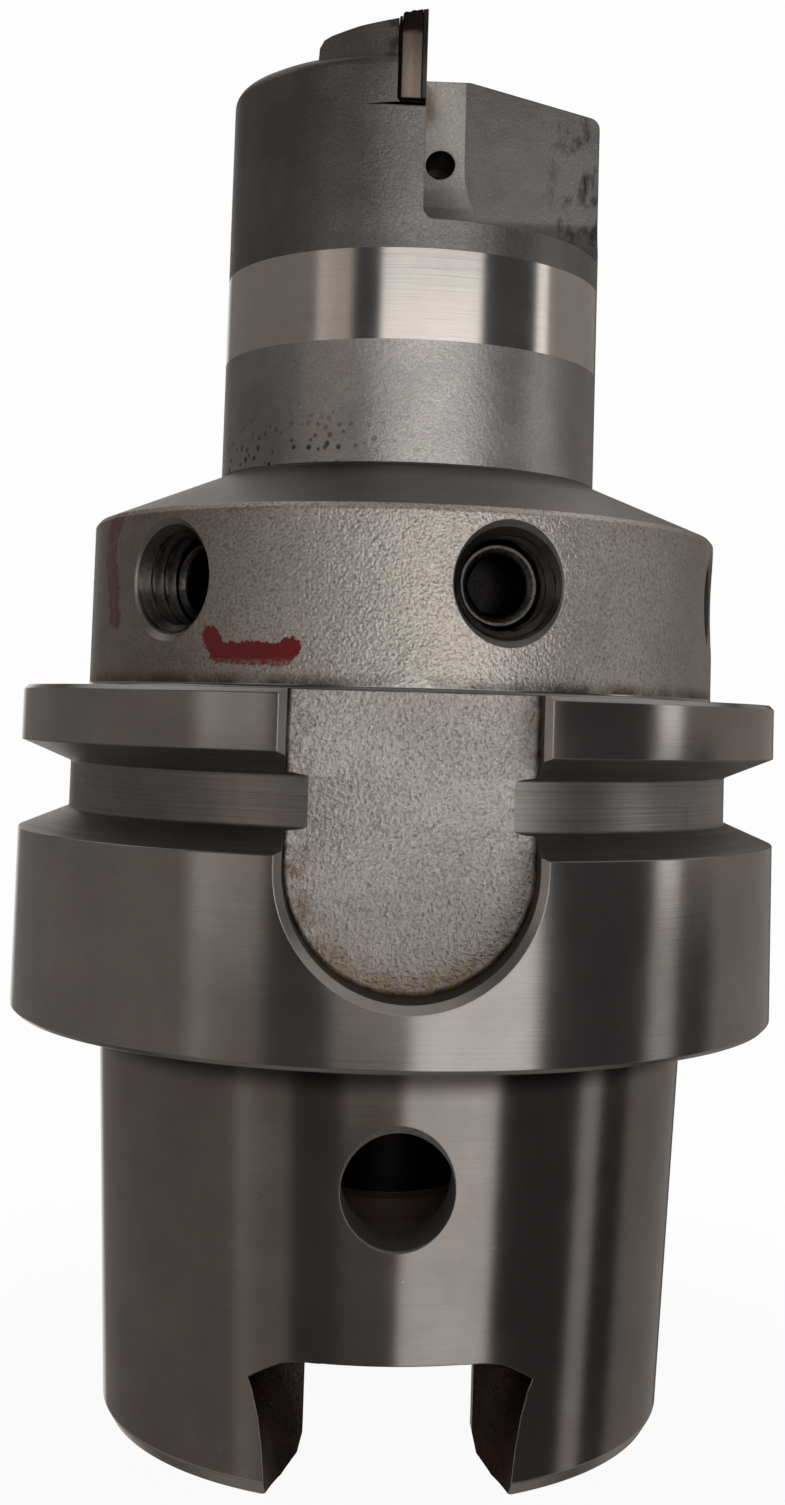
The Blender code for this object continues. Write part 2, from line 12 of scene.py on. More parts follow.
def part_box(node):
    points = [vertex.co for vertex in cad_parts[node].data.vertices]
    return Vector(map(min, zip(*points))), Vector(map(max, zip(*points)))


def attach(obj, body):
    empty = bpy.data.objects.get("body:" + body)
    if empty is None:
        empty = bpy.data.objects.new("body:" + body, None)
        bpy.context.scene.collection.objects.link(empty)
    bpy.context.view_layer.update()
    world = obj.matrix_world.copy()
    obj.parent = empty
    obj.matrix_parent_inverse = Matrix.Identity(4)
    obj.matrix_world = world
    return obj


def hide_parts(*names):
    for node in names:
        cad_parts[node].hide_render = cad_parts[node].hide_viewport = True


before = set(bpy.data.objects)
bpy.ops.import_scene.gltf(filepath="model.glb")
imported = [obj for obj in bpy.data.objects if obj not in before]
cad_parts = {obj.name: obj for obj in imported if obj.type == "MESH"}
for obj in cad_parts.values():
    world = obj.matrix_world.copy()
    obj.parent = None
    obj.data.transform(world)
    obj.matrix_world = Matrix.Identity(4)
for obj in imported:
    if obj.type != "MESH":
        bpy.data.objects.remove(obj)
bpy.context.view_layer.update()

# Sizes below are in millimetres. Heights are measured from the flange face that seats on the spindle,
# which is one shank length above the frame's origin.
MM = 0.001
TO_DEGREES = 180 / math.pi
BODY = "body"
SHANK_LENGTH = 32.0
TURN_STEPS = 288
EDGE_BREAK = 0.35
BEYOND = 2.0

FLANGE_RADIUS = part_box("tool_body")[1].x / MM
FLANGE_HEIGHT = 26.0
GROOVE_RADIUS = 27.5
GROOVE_EDGES = (14.5, 16.17, 19.93, 21.6)
SHANK_END = -SHANK_LENGTH
SHANK_END_RADIUS = 22.15
GAUGE_RADIUS = 24.005
GAUGE_HEIGHT = -6.3
TAPER = 9.98
BORE_RADIUS = 17.0
UNDERCUT_RADIUS = 18.5
UNDERCUT_TOP = -3.0
CLAMPING_SHOULDER = -18.13
NUT_SEAT_RADIUS = 8.6
NUT_SEAT_TOP = 6.0
TUBE_CHAMBER_RADIUS = 7.6
TUBE_CHAMBER_TOP = 13.0
GALLERY_RADIUS = 3.0
GALLERY_TOP = 59.0
COLLAR_RADIUS = 26.25
COLLAR_TOP = 39.63
HEAD_RADIUS = 15.95
HEAD_BOTTOM = 43.85
HEAD_RIM = 77.0
HEAD_CENTRE_TOP = 79.85
HEAD_CENTRE_RADIUS = 4.5
# The end face's rise: millimetres everywhere, and how much more in front of each tooth; the angle
# behind the tooth where that is highest, and the angle over which it fades, in degrees.
HEAD_LIFTS = (0.05, 0.55)
HEAD_LIFT_ANGLES = (110.0, 60.0)
HEAD_LIFT_DEPTH = 2.5
BAND_BOTTOM = 53.7
BAND_TOP = 60.95

SLOT_FLOOR = 26.5
SLOT_BOTTOM = 4.64
SLOT_WIDTHS = (18.0, 16.0)
SLOT_CHAMFER = 0.6
SLOT_FILLET = 0.4
END_SLOT_HALF = 6.27
END_SLOT_TOP = -21.97
END_SLOT_CORNER = 1.3
# The flare of the shank's end slots: half its width on the shank's skin at each height.
END_FLARE = (
    (-34.0, 8.85), (-30.6, 8.95), (-28.5, 9.15), (-26.3, 9.5), (-24.4, 10.0), (-23.6, 10.35),
    (-23.1, 9.6), (-22.6, 8.7), (-22.25, 8.0), (-22.1, 7.2), (-22.0, 6.4),
)
CROSS_HOLE_RADIUS = 4.15
CROSS_HOLE_HEIGHT = -9.7
CROSS_HOLE_MOUTH = 2.9

GULLET_SIDE = 0.0
GULLET_BACK = -0.5
GULLET_FLOOR = 63.35
GULLET_ROUNDING = 4.5
GULLET_CORNER = 0.9
GULLET_RELIEF_END = 4.1
# The relief strip beside the tooth: how far it is recessed in the back wall at each height.
GULLET_RELIEF = (
    (67.6, 0.08), (68.6, 0.26), (70.2, 0.42), (71.6, 0.50), (73.0, 0.50), (74.4, 0.44),
    (80.0, 0.13), (84.0, 0.08),
)
RELIEF_STEP = 0.2
COOLANT_OUTLET = (2.0, 72.45)
COOLANT_OUTLET_RADIUS = 1.28
COOLANT_BRANCH_START = (0.3, 1.4, 57.0)

TIP_RAKE = -0.05
TIP_BACK = -2.05
TIP_BOTTOM = 72.9
TIP_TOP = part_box("front_diamond_layer")[1].z / MM - SHANK_LENGTH
TIP_FALL = 0.22
TIP_OUTER = 16.05
TIP_INNER = 10.6
DIAMOND_THICKNESS = 0.4
BRAZE_THICKNESS = 0.22
BRAZE_TOP = 79.63
JOINT_GAP = 0.02
# The chipped top edge of a carbide block: (x, how far it lies below the edge's line).
TIP_CHIPS = ((-0.7, 0.0), (-0.95, 0.06), (-1.25, 0.0), (-1.5, 0.15), (-1.78, 0.1))
SCORCHED_SLIT = ((0.5, 72.32), (-1.5, 72.34), (-4.8, 72.52), (-1.5, 72.66), (0.5, 72.7))
LAND_END = -8.6
LAND_BOTTOM = 74.0
LAND_TOP_AT_TIP = 79.6
LAND_TOP_AT_END = 78.45
LAND_RADIUS = 15.6
LAND_STEPS = 250

BALANCE_HEIGHT = 34.1
BALANCE_ANGLES = (-45.0, 15.0, 75.0, 135.0, 195.0, 255.0)
BALANCE_SINK_RADIUS = 4.7
THREAD_PITCH = 1.25
THREAD_FLAT = 0.12
THREAD_RINGS = 10
THREAD_HOLE_RADII = (3.4, 4.05)
THREAD_SCREW_RADII = (3.22, 3.88)
HOLE_END = 9.0
HOLE_START = 1.5
SCREW_LENGTH = 8.0
SCREW_LEAD_RADIUS = 3.0
SCREW_TAIL_RADIUS = 2.9
SCREW_CHAMFER_SLOPE = 1.1
SCREW_DEPTHS = (3.5, 2.7, 3.0, 4.2, 2.4, 3.8)
SOCKET_FLATS = 4.0
SOCKET_DEPTH = 4.0
DRILL_POINT = math.radians(30)

# Paint-pen marks on the collar: millimetres round it from the wide slot's middle, and height.
PEN_STROKE = ((-15.9, 29.7), (-15.1, 28.6), (-9.7, 28.5), (-9.2, 29.0))
PEN_SMEAR = ((-28.2, 39.3), (-29.4, 37.8), (-29.5, 35.5), (-28.7, 33.3), (-28.2, 31.6))

BACKDROP = (0.985, 0.985, 0.983)

# Light colours: the bright paper, the warm walls and the brown shade.
PAPER = (1.0, 0.955, 0.92)
WALL = (1.0, 0.885, 0.80)
SHADE = (1.0, 0.55, 0.50)
# Soft boxes round the tool: azimuth from and to, elevation from and to, softness of the edges (all in
# degrees), brightness and colour. Azimuth 0 is the camera's side, and positive azimuths are towards +X.
SOFT_BOXES = (
    (-21.0, 40.0, 1.0, 16.0, 3.5, 1.30, PAPER),
    (4.0, 40.0, -34.0, 1.0, 4.0, 1.00, PAPER),
    (-19.0, 4.0, -16.0, 1.0, 4.0, 0.27, WALL),
    (-19.0, 4.0, -34.0, -16.0, 4.0, 0.07, WALL),
    (-40.0, -20.0, -40.0, -10.0, 5.0, 0.015, SHADE),
    (-62.0, -39.0, -5.0, 20.0, 6.0, 0.38, WALL),
    (-62.0, -39.0, -40.0, -5.0, 6.0, 0.17, WALL),
    (-30.0, 100.0, 34.0, 70.0, 12.0, 0.22, PAPER),
    (-165.0, -55.0, -40.0, 22.0, 16.0, 0.13, WALL),
    (79.0, 88.0, -3.0, 20.0, 4.0, 1.10, PAPER),
    (77.0, 87.0, -34.0, -3.0, 5.0, 0.42, PAPER),
    (88.0, 158.0, -3.0, 24.0, 6.0, 0.20, WALL),
    (104.0, 158.0, -40.0, -3.0, 8.0, 0.20, WALL),
    (168.0, 200.0, -35.0, 30.0, 8.0, 0.70, PAPER),
    (95.0, 265.0, 30.0, 70.0, 12.0, 0.45, PAPER),
    (-180.0, 180.0, 70.0, 110.0, 12.0, 0.22, PAPER),
    (-180.0, 180.0, -110.0, -52.0, 14.0, 0.13, WALL),
)
ROOM_LIGHT = 0.056


# ---------------------------------------------------------------- mesh helpers


def to_object(name, verts, faces, materials=(), labels=None):
    """An object in millimetres from lists of points and faces, each face with its material index."""
    mesh = bpy.data.meshes.new(name)
    mesh.from_pydata([tuple(v) for v in verts], [], faces)
    for material in materials:
        mesh.materials.append(material)
    if labels is not None:
        mesh.polygons.foreach_set("material_index", np.array(labels, np.int32))
    obj = bpy.data.objects.new(name, mesh)
    bpy.context.scene.collection.objects.link(obj)
    return obj


@contextlib.contextmanager
def editing(obj):
    """Opens an object's mesh for editing, and writes it back afterwards."""
    shape = bmesh.new()
    shape.from_mesh(obj.data)
    yield shape
    shape.to_mesh(obj.data)
    shape.free()


def clamp(value):
    return min(1.0, max(0.0, value))


def face_outwards(obj):
    with editing(obj) as shape:
        bmesh.ops.remove_doubles(shape, verts=shape.verts, dist=0.0005)
        bmesh.ops.recalc_face_normals(shape, faces=shape.faces)
    return obj


def split_bent_faces(obj):
    """Cuts faces that are not flat into triangles, because the Boolean solver takes each face as a plane."""
    with editing(obj) as shape:
        bent = []
        for face in shape.faces:
            base = face.verts[0].co
            if len(face.verts) > 3 and max(abs((v.co - base).dot(face.normal)) for v in face.verts) > 0.00002:
                bent.append(face)
        bmesh.ops.triangulate(shape, faces=bent)
    return obj


def fillet_profile(corners, steps=6):
    """Rounds a polyline. Each corner is (radius, height, rounding, label of the stretch that follows)."""
    points = []
    for index, (radius, height, rounding, label) in enumerate(corners):
        here = Vector((radius, height))
        if rounding == 0 or index in (0, len(corners) - 1):
            points.append((here, label))
            continue
        before = Vector(corners[index - 1][:2]) - here
        after = Vector(corners[index + 1][:2]) - here
        half = before.angle(after) / 2
        back = min(rounding / math.tan(half), before.length * 0.48, after.length * 0.48)
        actual = back * math.tan(half)
        centre = here + (before.normalized() + after.normalized()).normalized() * (actual / math.sin(half))
        first = here + before.normalized() * back - centre
        last = here + after.normalized() * back - centre
        swing = first.angle_signed(last)
        for step in range(steps + 1):
            turn = Matrix.Rotation(-swing * step / steps, 2)
            points.append((centre + turn @ first, label))
    return points


def lathe(name, corners, steps, materials, closed=False, lift=None):
    """A turned solid about Z. The profile runs down its outer side; lift raises points by angle."""
    order = list(materials)
    points = fillet_profile(corners)
    verts = []
    rings = []
    for point, _ in points:
        ring = []
        for step in range(steps if point.x > 1e-9 else 1):
            angle = 2 * math.pi * (step + 0.5) / steps
            rise = lift(point.x, point.y, angle) if lift else 0.0
            ring.append(len(verts))
            verts.append((point.x * math.cos(angle), point.x * math.sin(angle), point.y + rise))
        rings.append(ring)
    faces = []
    labels = []
    for index in range(len(rings) - (not closed)):
        upper = rings[index]
        lower = rings[(index + 1) % len(rings)]
        for step in range(steps):
            following = (step + 1) % steps
            loop = [upper[step % len(upper)], lower[step % len(lower)]]
            if len(lower) > 1:
                loop.append(lower[following])
            if len(upper) > 1:
                loop.append(upper[following])
            faces.append(loop)
            labels.append(order.index(points[index][1]))
    return to_object(name, verts, faces, materials.values(), labels)


def loft(name, rings, material, closed_path=False):
    """A solid through rings of points, each ring a closed section."""
    count = len(rings[0])
    verts = [point for ring in rings for point in ring]
    faces = []
    for index in range(len(rings) - (not closed_path)):
        first = index * count
        second = (index + 1) % len(rings) * count
        for step in range(count):
            following = (step + 1) % count
            faces.append((first + step, first + following, second + following, second + step))
    if not closed_path:
        faces.append(tuple(range(count - 1, -1, -1)))
        faces.append(tuple(range(len(verts) - count, len(verts))))
    return split_bent_faces(face_outwards(to_object(name, verts, faces, [material])))


def prism(name, outline, low, high, material):
    """An (x, z) outline extruded along Y."""
    rings = [[(a, level, b) for a, b in outline] for level in (low, high)]
    return loft(name, rings, material)


def rod(name, start, end, radius, material, steps=64, end_radius=None):
    """A round bar, or a cone when its end has a radius of its own."""
    start = Vector(start)
    line = Vector(end) - start
    turn = line.to_track_quat("Z", "Y").to_matrix()
    rings = []
    for share, size in ((0.0, radius), (1.0, radius if end_radius is None else end_radius)):
        circle = [(size * x, size * y, 0.0) for x, y in arc((0.0, 0.0), 1.0, 0, 360, steps)[:-1]]
        rings.append([start + line * share + turn @ Vector(point) for point in circle])
    return loft(name, rings, material)


def arc(centre, radius, start, end, steps):
    """Points along a circle between two angles in degrees."""
    points = []
    for index in range(steps + 1):
        angle = math.radians(start + (end - start) * index / steps)
        points.append((centre[0] + radius * math.cos(angle), centre[1] + radius * math.sin(angle)))
    return points


def joined(name, objects):
    """One object from several separate closed shapes, each face keeping its material."""
    with bpy.context.temp_override(active_object=objects[0], selected_editable_objects=objects):
        bpy.ops.object.join()
    objects[0].name = name
    return objects[0]


def turned(obj, degrees):
    """Turns an object's mesh about the tool axis."""
    obj.data.transform(Matrix.Rotation(math.radians(degrees), 4, "Z"))
    return obj


def combine(target, others, operation="DIFFERENCE"):
    """Applies Booleans. Cut faces take the material of the shape that cut them."""
    for other in others:
        modifier = target.modifiers.new(other.name, "BOOLEAN")
        modifier.operation = operation
        modifier.solver = "EXACT"
        modifier.material_mode = "TRANSFER"
        modifier.object = other
    graph = bpy.context.evaluated_depsgraph_get()
    result = bpy.data.meshes.new_from_object(target.evaluated_get(graph))
    target.modifiers.clear()
    target.data = result
    for other in others:
        bpy.data.objects.remove(other)
    return target


def chamfer_cutter(name, edge, first, second, size, material):
    """A swept wedge that takes off an edge: edge points, and the directions of its two faces there."""
    rings = []
    for point, one, two in zip(edge, first, second):
        on_one = point + one * size
        on_two = point + two * size
        spare = (on_one - on_two) * 0.6
        rings.append([on_one + spare, on_two - spare, point - (one + two) * size * 1.5])
    return loft(name, rings, material)


def tidy(obj, sharp_degrees=28):
    """Merges points that meet, and shades the mesh smooth between its sharp edges."""
    with editing(obj) as shape:
        bmesh.ops.remove_doubles(shape, verts=shape.verts, dist=0.0008)
        bmesh.ops.dissolve_degenerate(shape, edges=shape.edges, dist=0.0005)
    obj.data.shade_smooth()
    obj.data.set_sharp_from_angle(angle=math.radians(sharp_degrees))
    return obj


def read(items, key, width=1, kind=np.float32):
    """One property of every vertex, face or corner, as an array."""
    values = np.empty(len(items) * width, kind)
    items.foreach_get(key, values)
    return values.reshape(-1, width) if width > 1 else values


def smooth_turned_faces(obj, materials):
    """Takes out the sideways part of the normals on turned faces, so cuts leave no mark in reflections."""
    mesh = obj.data
    names = [material.name for material in materials]
    wanted = [i for i, material in enumerate(mesh.materials) if material.name in names]
    normals = read(mesh.corner_normals, "vector", 3)
    places = read(mesh.vertices, "co", 3)[read(mesh.loops, "vertex_index", kind=np.int32)]
    index = read(mesh.polygons, "material_index", kind=np.int32)
    on_turned = np.repeat(np.isin(index, wanted), read(mesh.polygons, "loop_total", kind=np.int32))
    radial = places[:, :2]
    length = np.linalg.norm(radial, axis=1)
    use = on_turned & (length > 1.0)
    sideways = np.stack([-radial[:, 1], radial[:, 0]], 1) / np.maximum(length, 1e-6)[:, None]
    amount = (normals[:, :2] * sideways).sum(1)
    normals[use, :2] -= sideways[use] * amount[use][:, None]
    normals /= np.maximum(np.linalg.norm(normals, axis=1), 1e-6)[:, None]
    mesh.normals_split_custom_set([tuple(n) for n in normals])


def paint(obj, material, chosen):
    """Gives the chosen faces a second material."""
    obj.data.materials.append(material)
    for face in obj.data.polygons:
        if chosen(face):
            face.material_index = 1


def to_frame(obj):
    """Moves a mesh from millimetres above the flange face to the frame."""
    obj.data.transform(Matrix.Scale(MM, 4) @ Matrix.Translation((0.0, 0.0, SHANK_LENGTH)))


def finish_piece(obj, body, node):
    """Puts a piece on its body in place of its CAD node."""
    to_frame(obj)
    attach(obj, body)
    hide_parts(node)


# ---------------------------------------------------------------- materials


class Nodes:
    """Builds a node tree. A value is a number, a colour, a vector or another node's socket."""

    def __init__(self, tree):
        self.tree = tree

    def add(self, kind, inputs=None, **settings):
        node = self.tree.nodes.new(kind)
        for key, value in settings.items():
            setattr(node, key, value)
        for key, value in (inputs or {}).items():
            self.put(node.inputs[key], value)
        return node

    def put(self, socket, value):
        if isinstance(value, bpy.types.NodeSocket):
            self.tree.links.new(value, socket)
        elif socket.type == "RGBA" and len(value) == 3:
            socket.default_value = (*value, 1.0)
        else:
            socket.default_value = value

    def calc(self, operation, *values):
        return self.add("ShaderNodeMath", dict(enumerate(values)), operation=operation).outputs["Value"]

    def times(self, product, *factors):
        for factor in factors:
            product = self.calc("MULTIPLY", product, factor)
        return product

    def distance(self, first, second):
        squares = self.calc("ADD", self.times(first, first), self.times(second, second))
        return self.calc("SQRT", squares)

    def azimuth(self, x, y):
        """Degrees round the axis from the wide slot's side, positive towards +X."""
        return self.times(self.calc("ARCTAN2", x, self.times(y, -1.0)), TO_DEGREES)

    def fit(self, value, low, high, to_low=0.0, to_high=1.0, smooth=False):
        """Maps low..high to to_low..to_high, clamped."""
        span = {"Value": value, "From Min": low, "From Max": high, "To Min": to_low, "To Max": to_high}
        kind = "SMOOTHSTEP" if smooth else "LINEAR"
        return self.add("ShaderNodeMapRange", span, interpolation_type=kind).outputs["Result"]

    def by_ray(self, seen, otherwise):
        """One shader for what the camera sees directly, and another for all other rays."""
        camera_ray = self.add("ShaderNodeLightPath").outputs["Is Camera Ray"]
        return self.add("ShaderNodeMixShader", {0: camera_ray, 1: otherwise, 2: seen}).outputs[0]


class Finish(Nodes):
    """A procedural material. Its texture space is in millimetres, with heights as above."""

    def __init__(self, name, metallic=1.0):
        self.material = bpy.data.materials.new(name)
        self.material.use_nodes = True
        super().__init__(self.material.node_tree)
        self.shader = self.tree.nodes["Principled BSDF"]
        self.set(Metallic=metallic)
        place = self.add("ShaderNodeTexCoord").outputs["Object"]
        scaled = self.add("ShaderNodeVectorMath", {0: place, "Scale": 1 / MM}, operation="SCALE")
        lift = {0: scaled.outputs["Vector"], 1: (0.0, 0.0, SHANK_LENGTH)}
        self.space = self.add("ShaderNodeVectorMath", lift, operation="SUBTRACT").outputs["Vector"]
        split = self.add("ShaderNodeSeparateXYZ", {"Vector": self.space})
        self.x, self.y, self.z = (split.outputs[axis] for axis in "XYZ")

    def set(self, **values):
        for key, value in values.items():
            self.put(self.shader.inputs[key.replace("_", " ")], value)

    def noise(self, per_mm, shift=0.0, detail=3.0, roughness=0.6, stretch=None):
        vector = self.space
        if stretch or shift:
            settings = {"Vector": vector, "Scale": stretch or (1, 1, 1)}
            settings["Location"] = (shift, shift * 0.7, shift * 1.3)
            vector = self.add("ShaderNodeMapping", settings).outputs["Vector"]
        settings = {"Vector": vector, "Scale": per_mm, "Detail": detail, "Roughness": roughness}
        return self.add("ShaderNodeTexNoise", settings).outputs["Fac"]

    def cells(self, per_mm, feature="F1"):
        settings = {"Vector": self.space, "Scale": per_mm}
        return self.add("ShaderNodeTexVoronoi", settings, feature=feature).outputs["Distance"]

    def across(self):
        """Millimetres past the rake faces' plane, positive on the gullet's side of either tooth."""
        return self.times(self.x, self.calc("SIGN", self.times(self.y, -1.0)))

    def mix(self, share, first, second):
        """Mixes two colours. Inputs 6 and 7 and output 2 are the node's colour sockets."""
        return self.add("ShaderNodeMix", {"Factor": share, 6: first, 7: second}, data_type="RGBA").outputs[2]

    def overlay(self, colour, *masks):
        """Lays a colour over the base colour, as strongly as the product of the masks."""
        below = self.shader.inputs["Base Color"].links[0].from_socket
        self.set(Base_Color=self.mix(self.times(*masks), below, colour))

    def rounded_normal(self, radius):
        return self.add("ShaderNodeBevel", {"Radius": radius * MM}, samples=4).outputs["Normal"]

    def edge_mask(self, rounded):
        """Near 1 on an edge of the shape, 0 on its faces."""
        plain = self.add("ShaderNodeNewGeometry").outputs["Normal"]
        dot = self.add("ShaderNodeVectorMath", {0: plain, 1: rounded}, operation="DOT_PRODUCT")
        return self.fit(dot.outputs["Value"], 0.99, 0.85, smooth=True)

    def bump(self, height, depth, normal):
        """depth is the height in millimetres that a value of 1 stands for."""
        settings = {"Distance": depth * MM, "Height": height, "Normal": normal}
        return self.add("ShaderNodeBump", settings).outputs["Normal"]

    def circumferential(self):
        """Stretches reflections across marks that run round the axis."""
        tangent = self.add("ShaderNodeTangent", direction_type="RADIAL", axis="Z")
        self.set(Tangent=tangent.outputs["Tangent"], Anisotropic=0.5, Anisotropic_Rotation=0.25)

    def base_steel(self, cloud, low, high, dark, light, rough_span, roughness):
        """Base colour between two shades, and roughness, both following a cloudy pattern."""
        self.set(Base_Color=self.mix(self.fit(cloud, low, high, smooth=True), dark, light))
        self.set(Roughness=self.calc("MULTIPLY_ADD", cloud, rough_span, roughness - rough_span / 2))


def shades(colour, *factors):
    return [tuple(min(1.0, part * factor) for part in colour) for factor in factors]


def add_dust(finish, share):
    """Sparse pale specks of dust."""
    finish.overlay((0.62, 0.57, 0.50), finish.fit(finish.cells(0.42), 0.035, 0.022), share)


def ground_steel(name, colour, roughness, line_depth):
    """Steel ground round the axis: fine rings, faint blotches, bright broken edges."""
    finish = Finish(name)
    rounded = finish.rounded_normal(0.12)
    lines = finish.noise(1.0, stretch=(0.12, 0.12, 9.0))
    coarse = finish.noise(1.0, 7.0, 2.0, 0.5, stretch=(0.05, 0.05, 2.2))
    scratches = finish.noise(1.0, 11.0, 2.0, stretch=(0.5, 0.5, 14.0))
    dark, light, line, bright = shades(colour, 0.86, 1.05, 0.78, 1.6)
    finish.base_steel(finish.noise(0.14, 3.0, 4.0), 0.3, 0.7, dark, light, 0.08, roughness)
    below = finish.shader.inputs["Roughness"].links[0].from_socket
    finish.set(Roughness=finish.calc("MULTIPLY_ADD", scratches, 0.04, below))
    finish.overlay(line, finish.fit(lines, 0.45, 0.75, 0.0, 0.4))
    finish.overlay(bright, finish.edge_mask(rounded), 0.25)
    add_dust(finish, 0.5)
    finish.circumferential()
    normal = finish.bump(lines, line_depth, rounded)
    finish.set(Normal=finish.bump(coarse, line_depth * 1.5, normal))
    return finish


def blasted_steel(name, colour, roughness, depth, specks, grain=6.0):
    """Fine sandblasted steel: a close grain, faint smudges, rubbed edges and small dark specks."""
    finish = Finish(name)
    rounded = finish.rounded_normal(0.15)
    fine = finish.noise(grain, roughness=0.65)
    coarse = finish.noise(grain * 0.4, 13.0, 2.0, 0.5)
    dots = finish.fit(finish.cells(1.3), 0.11, 0.06)
    sparse = finish.fit(finish.noise(0.35, 21.0, 2.0, 0.5), 0.56, 0.66)
    dark, light, shade, bright = shades(colour, 0.82, 1.1, 0.62, 1.8)
    finish.base_steel(finish.noise(0.16, 5.0, 4.0), 0.35, 0.65, dark, light, 0.12, roughness)
    finish.overlay(shade, finish.fit(fine, 0.55, 0.35, 0.0, 0.6))
    finish.overlay(bright, finish.fit(fine, 0.60, 0.75, 0.0, 0.5))
    finish.overlay((0.02, 0.018, 0.016), dots, sparse, specks)
    finish.overlay(bright, finish.edge_mask(rounded), 0.3)
    add_dust(finish, 0.5)
    height = finish.calc("MULTIPLY_ADD", coarse, 1.2, fine)
    finish.set(Normal=finish.bump(height, depth, rounded))
    return finish


def pitted_steel(name, colour, roughness, pit_size, depth, contrast=0.8):
    """Coarsely blasted steel with an orange-peel surface."""
    finish = Finish(name)
    rounded = finish.rounded_normal(0.15)
    pits = finish.noise(1.0 / pit_size, roughness=0.55)
    dimples = finish.cells(0.8 / pit_size, "SMOOTH_F1")
    grain = finish.noise(2.4 / pit_size, 0.0, 2.0, 0.5)
    dark, light, shade, bright = shades(colour, 0.9, 1.08, 0.5, 1.45)
    finish.base_steel(finish.noise(0.15, 2.0, 4.0), 0.3, 0.7, dark, light, 0.10, roughness)
    finish.overlay(shade, finish.fit(pits, 0.47, 0.34, 0.0, contrast))
    finish.overlay(bright, finish.fit(pits, 0.54, 0.68, 0.0, contrast * 0.8))
    finish.overlay(bright, finish.edge_mask(rounded), 0.3)
    add_dust(finish, 0.4)
    height = finish.calc("MULTIPLY_ADD", dimples, 0.55, pits)
    height = finish.calc("MULTIPLY_ADD", grain, 0.3, height)
    finish.set(Normal=finish.bump(height, depth, rounded))
    return finish


def turned_steel(name, colour, roughness, line_spacing):
    """Steel turned on a lathe: tool marks round the axis, and darker clouds."""
    finish = Finish(name)
    rounded = finish.rounded_normal(0.12)
    marks = finish.noise(1.0, stretch=(0.05, 0.05, 5.0 / line_spacing))
    fine = finish.noise(5.0, 0.0, 2.0, 0.5)
    dark, darker = shades(colour, 0.72, 0.55)
    finish.set(Base_Color=finish.mix(finish.fit(marks, 0.35, 0.65), dark, colour))
    finish.overlay(darker, finish.fit(finish.noise(0.25, 3.0, 4.0), 0.45, 0.7, 0.0, 0.4))
    finish.overlay((0.6, 0.57, 0.54), finish.edge_mask(rounded), 0.5)
    finish.set(Roughness=finish.calc("MULTIPLY_ADD", fine, 0.16, roughness - 0.08))
    finish.set(Normal=finish.bump(marks, 0.02, rounded))
    return finish


# How the tool body's regions are finished, before wear, dirt, painted shade and painted highlights.
BODY_FINISHES = {
    # upper_head's base is a darker copy of head's: painted shade above the band.
    "upper_head": (blasted_steel, (0.34, 0.33, 0.325), 0.38, 0.018, 0.9),
    "head": (blasted_steel, (0.66, 0.645, 0.635), 0.37, 0.018, 0.9),
    "head_end": (blasted_steel, (0.30, 0.29, 0.285), 0.45, 0.022, 0.9),
    "land": (blasted_steel, (0.26, 0.25, 0.245), 0.42, 0.015, 0.7),
    "band": (ground_steel, (0.68, 0.65, 0.625), 0.15, 0.0025),
    "cone": (pitted_steel, (0.35, 0.325, 0.315), 0.42, 0.2, 0.015, 0.3),
    "collar": (pitted_steel, (0.74, 0.69, 0.65), 0.34, 0.22, 0.07, 0.8),
    "flange": (ground_steel, (0.42, 0.40, 0.385), 0.15, 0.0025),
    "shank": (ground_steel, (0.31, 0.286, 0.273), 0.14, 0.0025),
    "edge": (ground_steel, (0.66, 0.62, 0.59), 0.3, 0.003),
    "groove": (turned_steel, (0.42, 0.405, 0.395), 0.34, 0.9),
    "flank": (turned_steel, (0.36, 0.345, 0.335), 0.4, 0.6),
    "hollow": (turned_steel, (0.22, 0.20, 0.19), 0.4, 1.2),
    "slot_floor": (pitted_steel, (0.60, 0.57, 0.555), 0.38, 0.24, 0.085, 0.6),
    "slot_wall": (pitted_steel, (0.10, 0.09, 0.085), 0.55, 0.3, 0.02),
    "keyway": (pitted_steel, (0.045, 0.034, 0.032), 0.42, 0.25, 0.03),
    "hole": (pitted_steel, (0.11, 0.10, 0.095), 0.35, 0.3, 0.012, 0.4),
    "sink": (turned_steel, (0.46, 0.44, 0.425), 0.40, 0.5),
    "bore": (pitted_steel, (0.22, 0.21, 0.205), 0.6, 0.35, 0.03, 0.5),
    "gullet": (blasted_steel, (0.255, 0.25, 0.246), 0.42, 0.012, 1.0),
    # relief's base is a lighter copy of the gullet's blasted steel: painted light.
    "relief": (blasted_steel, (0.56, 0.55, 0.535), 0.38, 0.008, 0.4),
    "seat": (pitted_steel, (0.015, 0.011, 0.010), 0.6, 0.2, 0.02),
}


def paint_side_shade(finish, colour, left, right):
    """Painted shade on the two sides of a surface of revolution; each share is how strong it is."""
    azimuth = finish.azimuth(finish.x, finish.y)
    patchy_wear_and_shade = finish.fit(finish.noise(0.25, 81.0), 0.3, 0.7, 0.75, 1.0)
    for towards, away, share in ((-12.0, -52.0, left), (28.0, 62.0, right)):
        near = finish.fit(azimuth, towards, away, smooth=True)
        back = finish.fit(azimuth, math.copysign(165.0, away), math.copysign(120.0, away), smooth=True)
        finish.overlay(colour, near, back, patchy_wear_and_shade, share)


